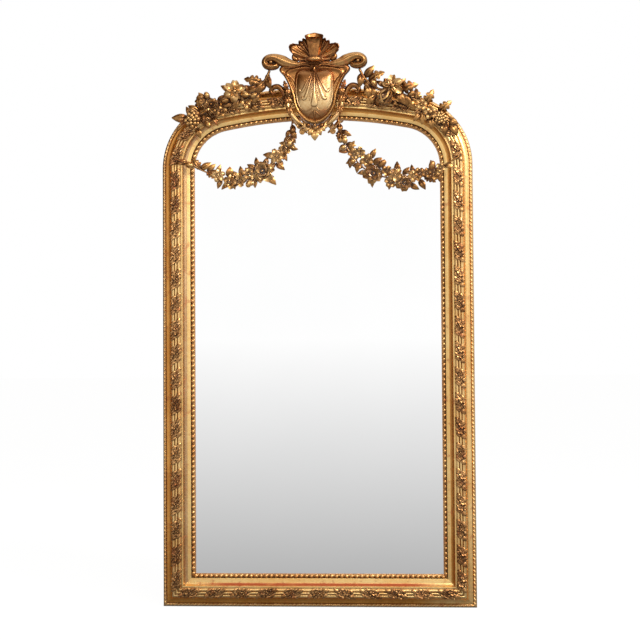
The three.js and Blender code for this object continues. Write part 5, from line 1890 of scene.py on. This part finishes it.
def studio_floor():
    """White paper to the camera, with the mirror's shadow; in the glass it darkens towards the viewer."""
    recipe = Recipe(bpy.data.materials.new("studio_floor"))
    path = recipe.add("ShaderNodeLightPath")
    across, back, _ = recipe.axes(recipe.add("ShaderNodeNewGeometry").wire("Position"))
    ahead = 0 - back
    reach = (ahead + MIRROR_CAMERA_GAP) ** -1.0
    mirrored_grey = (GREY_FAR - GREY_FALL * reach).clamped()
    # Only the wedge of floor that the glass shows carries that grey; gold sees the rest.
    crossing = CAMERA_PLACE.x + (across - CAMERA_PLACE.x) * MIRROR_CAMERA_GAP * reach
    off_wedge = (crossing * crossing).ramp(0.175, 1.1)
    for_gold = ahead.ramp(0.6, 3.0) * 0.60 + ahead.ramp(3.0, 6.0) * 0.12 + 0.22
    near_frame = 1 - ahead.ramp(0.35, 0.62)
    share = (off_wedge + near_frame).clamped()
    grey = (mirrored_grey * (1 - share) + for_gold * share).clamped()
    shown = recipe.blend(grey, (0, 0, 0, 1), (1, 1, 1, 1))
    mirrored = recipe.light("ShaderNodeEmission", shown, 1.0)
    paper = recipe.add("ShaderNodeBsdfDiffuse", None, {"Color": (0.22, 0.22, 0.22, 1)}).wire()
    glow = recipe.light("ShaderNodeEmission", (1, 1, 1, 1), 0.90)
    seen = recipe.add("ShaderNodeAddShader", None, {0: paper, 1: glow}).wire()
    soft = recipe.add("ShaderNodeBsdfDiffuse", None, {"Color": (0.6, 0.6, 0.6, 1)}).wire()
    direct = recipe.either(path.wire("Is Camera Ray"), soft, seen)
    surface = recipe.either(path.wire("Is Glossy Ray"), direct, mirrored)
    recipe.add("ShaderNodeOutputMaterial", None, {"Surface": surface})
    return recipe.made


bpy.ops.mesh.primitive_plane_add(size=400, location=(0, 0, FLOOR_Z))
floor = bpy.context.object
floor.name = "studio_floor"
floor.data.materials.append(studio_floor())

# %% Surroundings


def studio_room():
    """White to the camera; gold and glass each see a room of their own."""
    recipe = Recipe(bpy.data.worlds.new("studio"))
    path = recipe.add("ShaderNodeLightPath")
    to_x, to_y, to_z = recipe.axes(recipe.add("ShaderNodeTexCoord").wire("Generated"))
    # Gold sees a bright wall of light in front, a darker band above it, a bright ceiling, a lit
    # room on the right and a dim one on the left.
    front_wall = to_y.ramp(-0.45, -0.86) * 0.84 * (1 - to_z.ramp(0.16, 0.50) * 0.74)
    ceiling = to_z.ramp(0.62, 0.90) * 0.95
    sides = to_x.ramp(0.35, 0.80) * 0.68 + to_x.ramp(-0.45, -0.9) * 0.05
    room = front_wall + ceiling + sides + 0.06
    tint = recipe.blend(room.ramp(0.10, 0.85), (1.0, 0.62, 0.32, 1), (1, 1, 1, 1))
    # Glass sees white straight ahead, which fades to the floor's far grey at the horizon.
    horizon = {"Value": to_z, "From Min": -0.03, "From Max": 0.023, "To Min": 0.8315, "To Max": 1.0}
    fade = recipe.add("ShaderNodeMapRange", None, horizon).wire()
    ahead_cone = to_y.ramp(-0.955, -0.975)
    seen = room * (1 - ahead_cone) + fade * ahead_cone
    glossy = recipe.light("ShaderNodeBackground", tint, seen)
    diffuse = recipe.light("ShaderNodeBackground", (1, 0.99, 0.97, 1), 0.42)
    white = recipe.light("ShaderNodeBackground", (1, 1, 1, 1), 1.0)
    lit = recipe.either(path.wire("Is Glossy Ray"), diffuse, glossy)
    shown = recipe.either(path.wire("Is Camera Ray"), lit, white)
    recipe.add("ShaderNodeOutputWorld", None, {"Surface": shown})
    return recipe.made


bpy.context.scene.world = studio_room()

# %% Lamps


def soft_light(name, place, target, width, height, watts):
    lamp = bpy.data.lights.new(name, "AREA")
    lamp.shape = "RECTANGLE"
    lamp.size, lamp.size_y = width, height
    lamp.energy = watts
    lamp.color = (1, 0.97, 0.92)
    stand = bpy.data.objects.new(name, lamp)
    bpy.context.collection.objects.link(stand)
    stand.location = place
    stand.rotation_euler = (Vector(target) - Vector(place)).to_track_quat("-Z", "Y").to_euler()
    return stand


key = soft_light("key_light", (2.6, -2.4, 3.2), (0, 0, 0.9), 1.3, 1.0, 90)
fill = soft_light("front_light", (0.4, -3.2, 2.9), (0, 0, 0.6), 2.2, 0.6, 28)
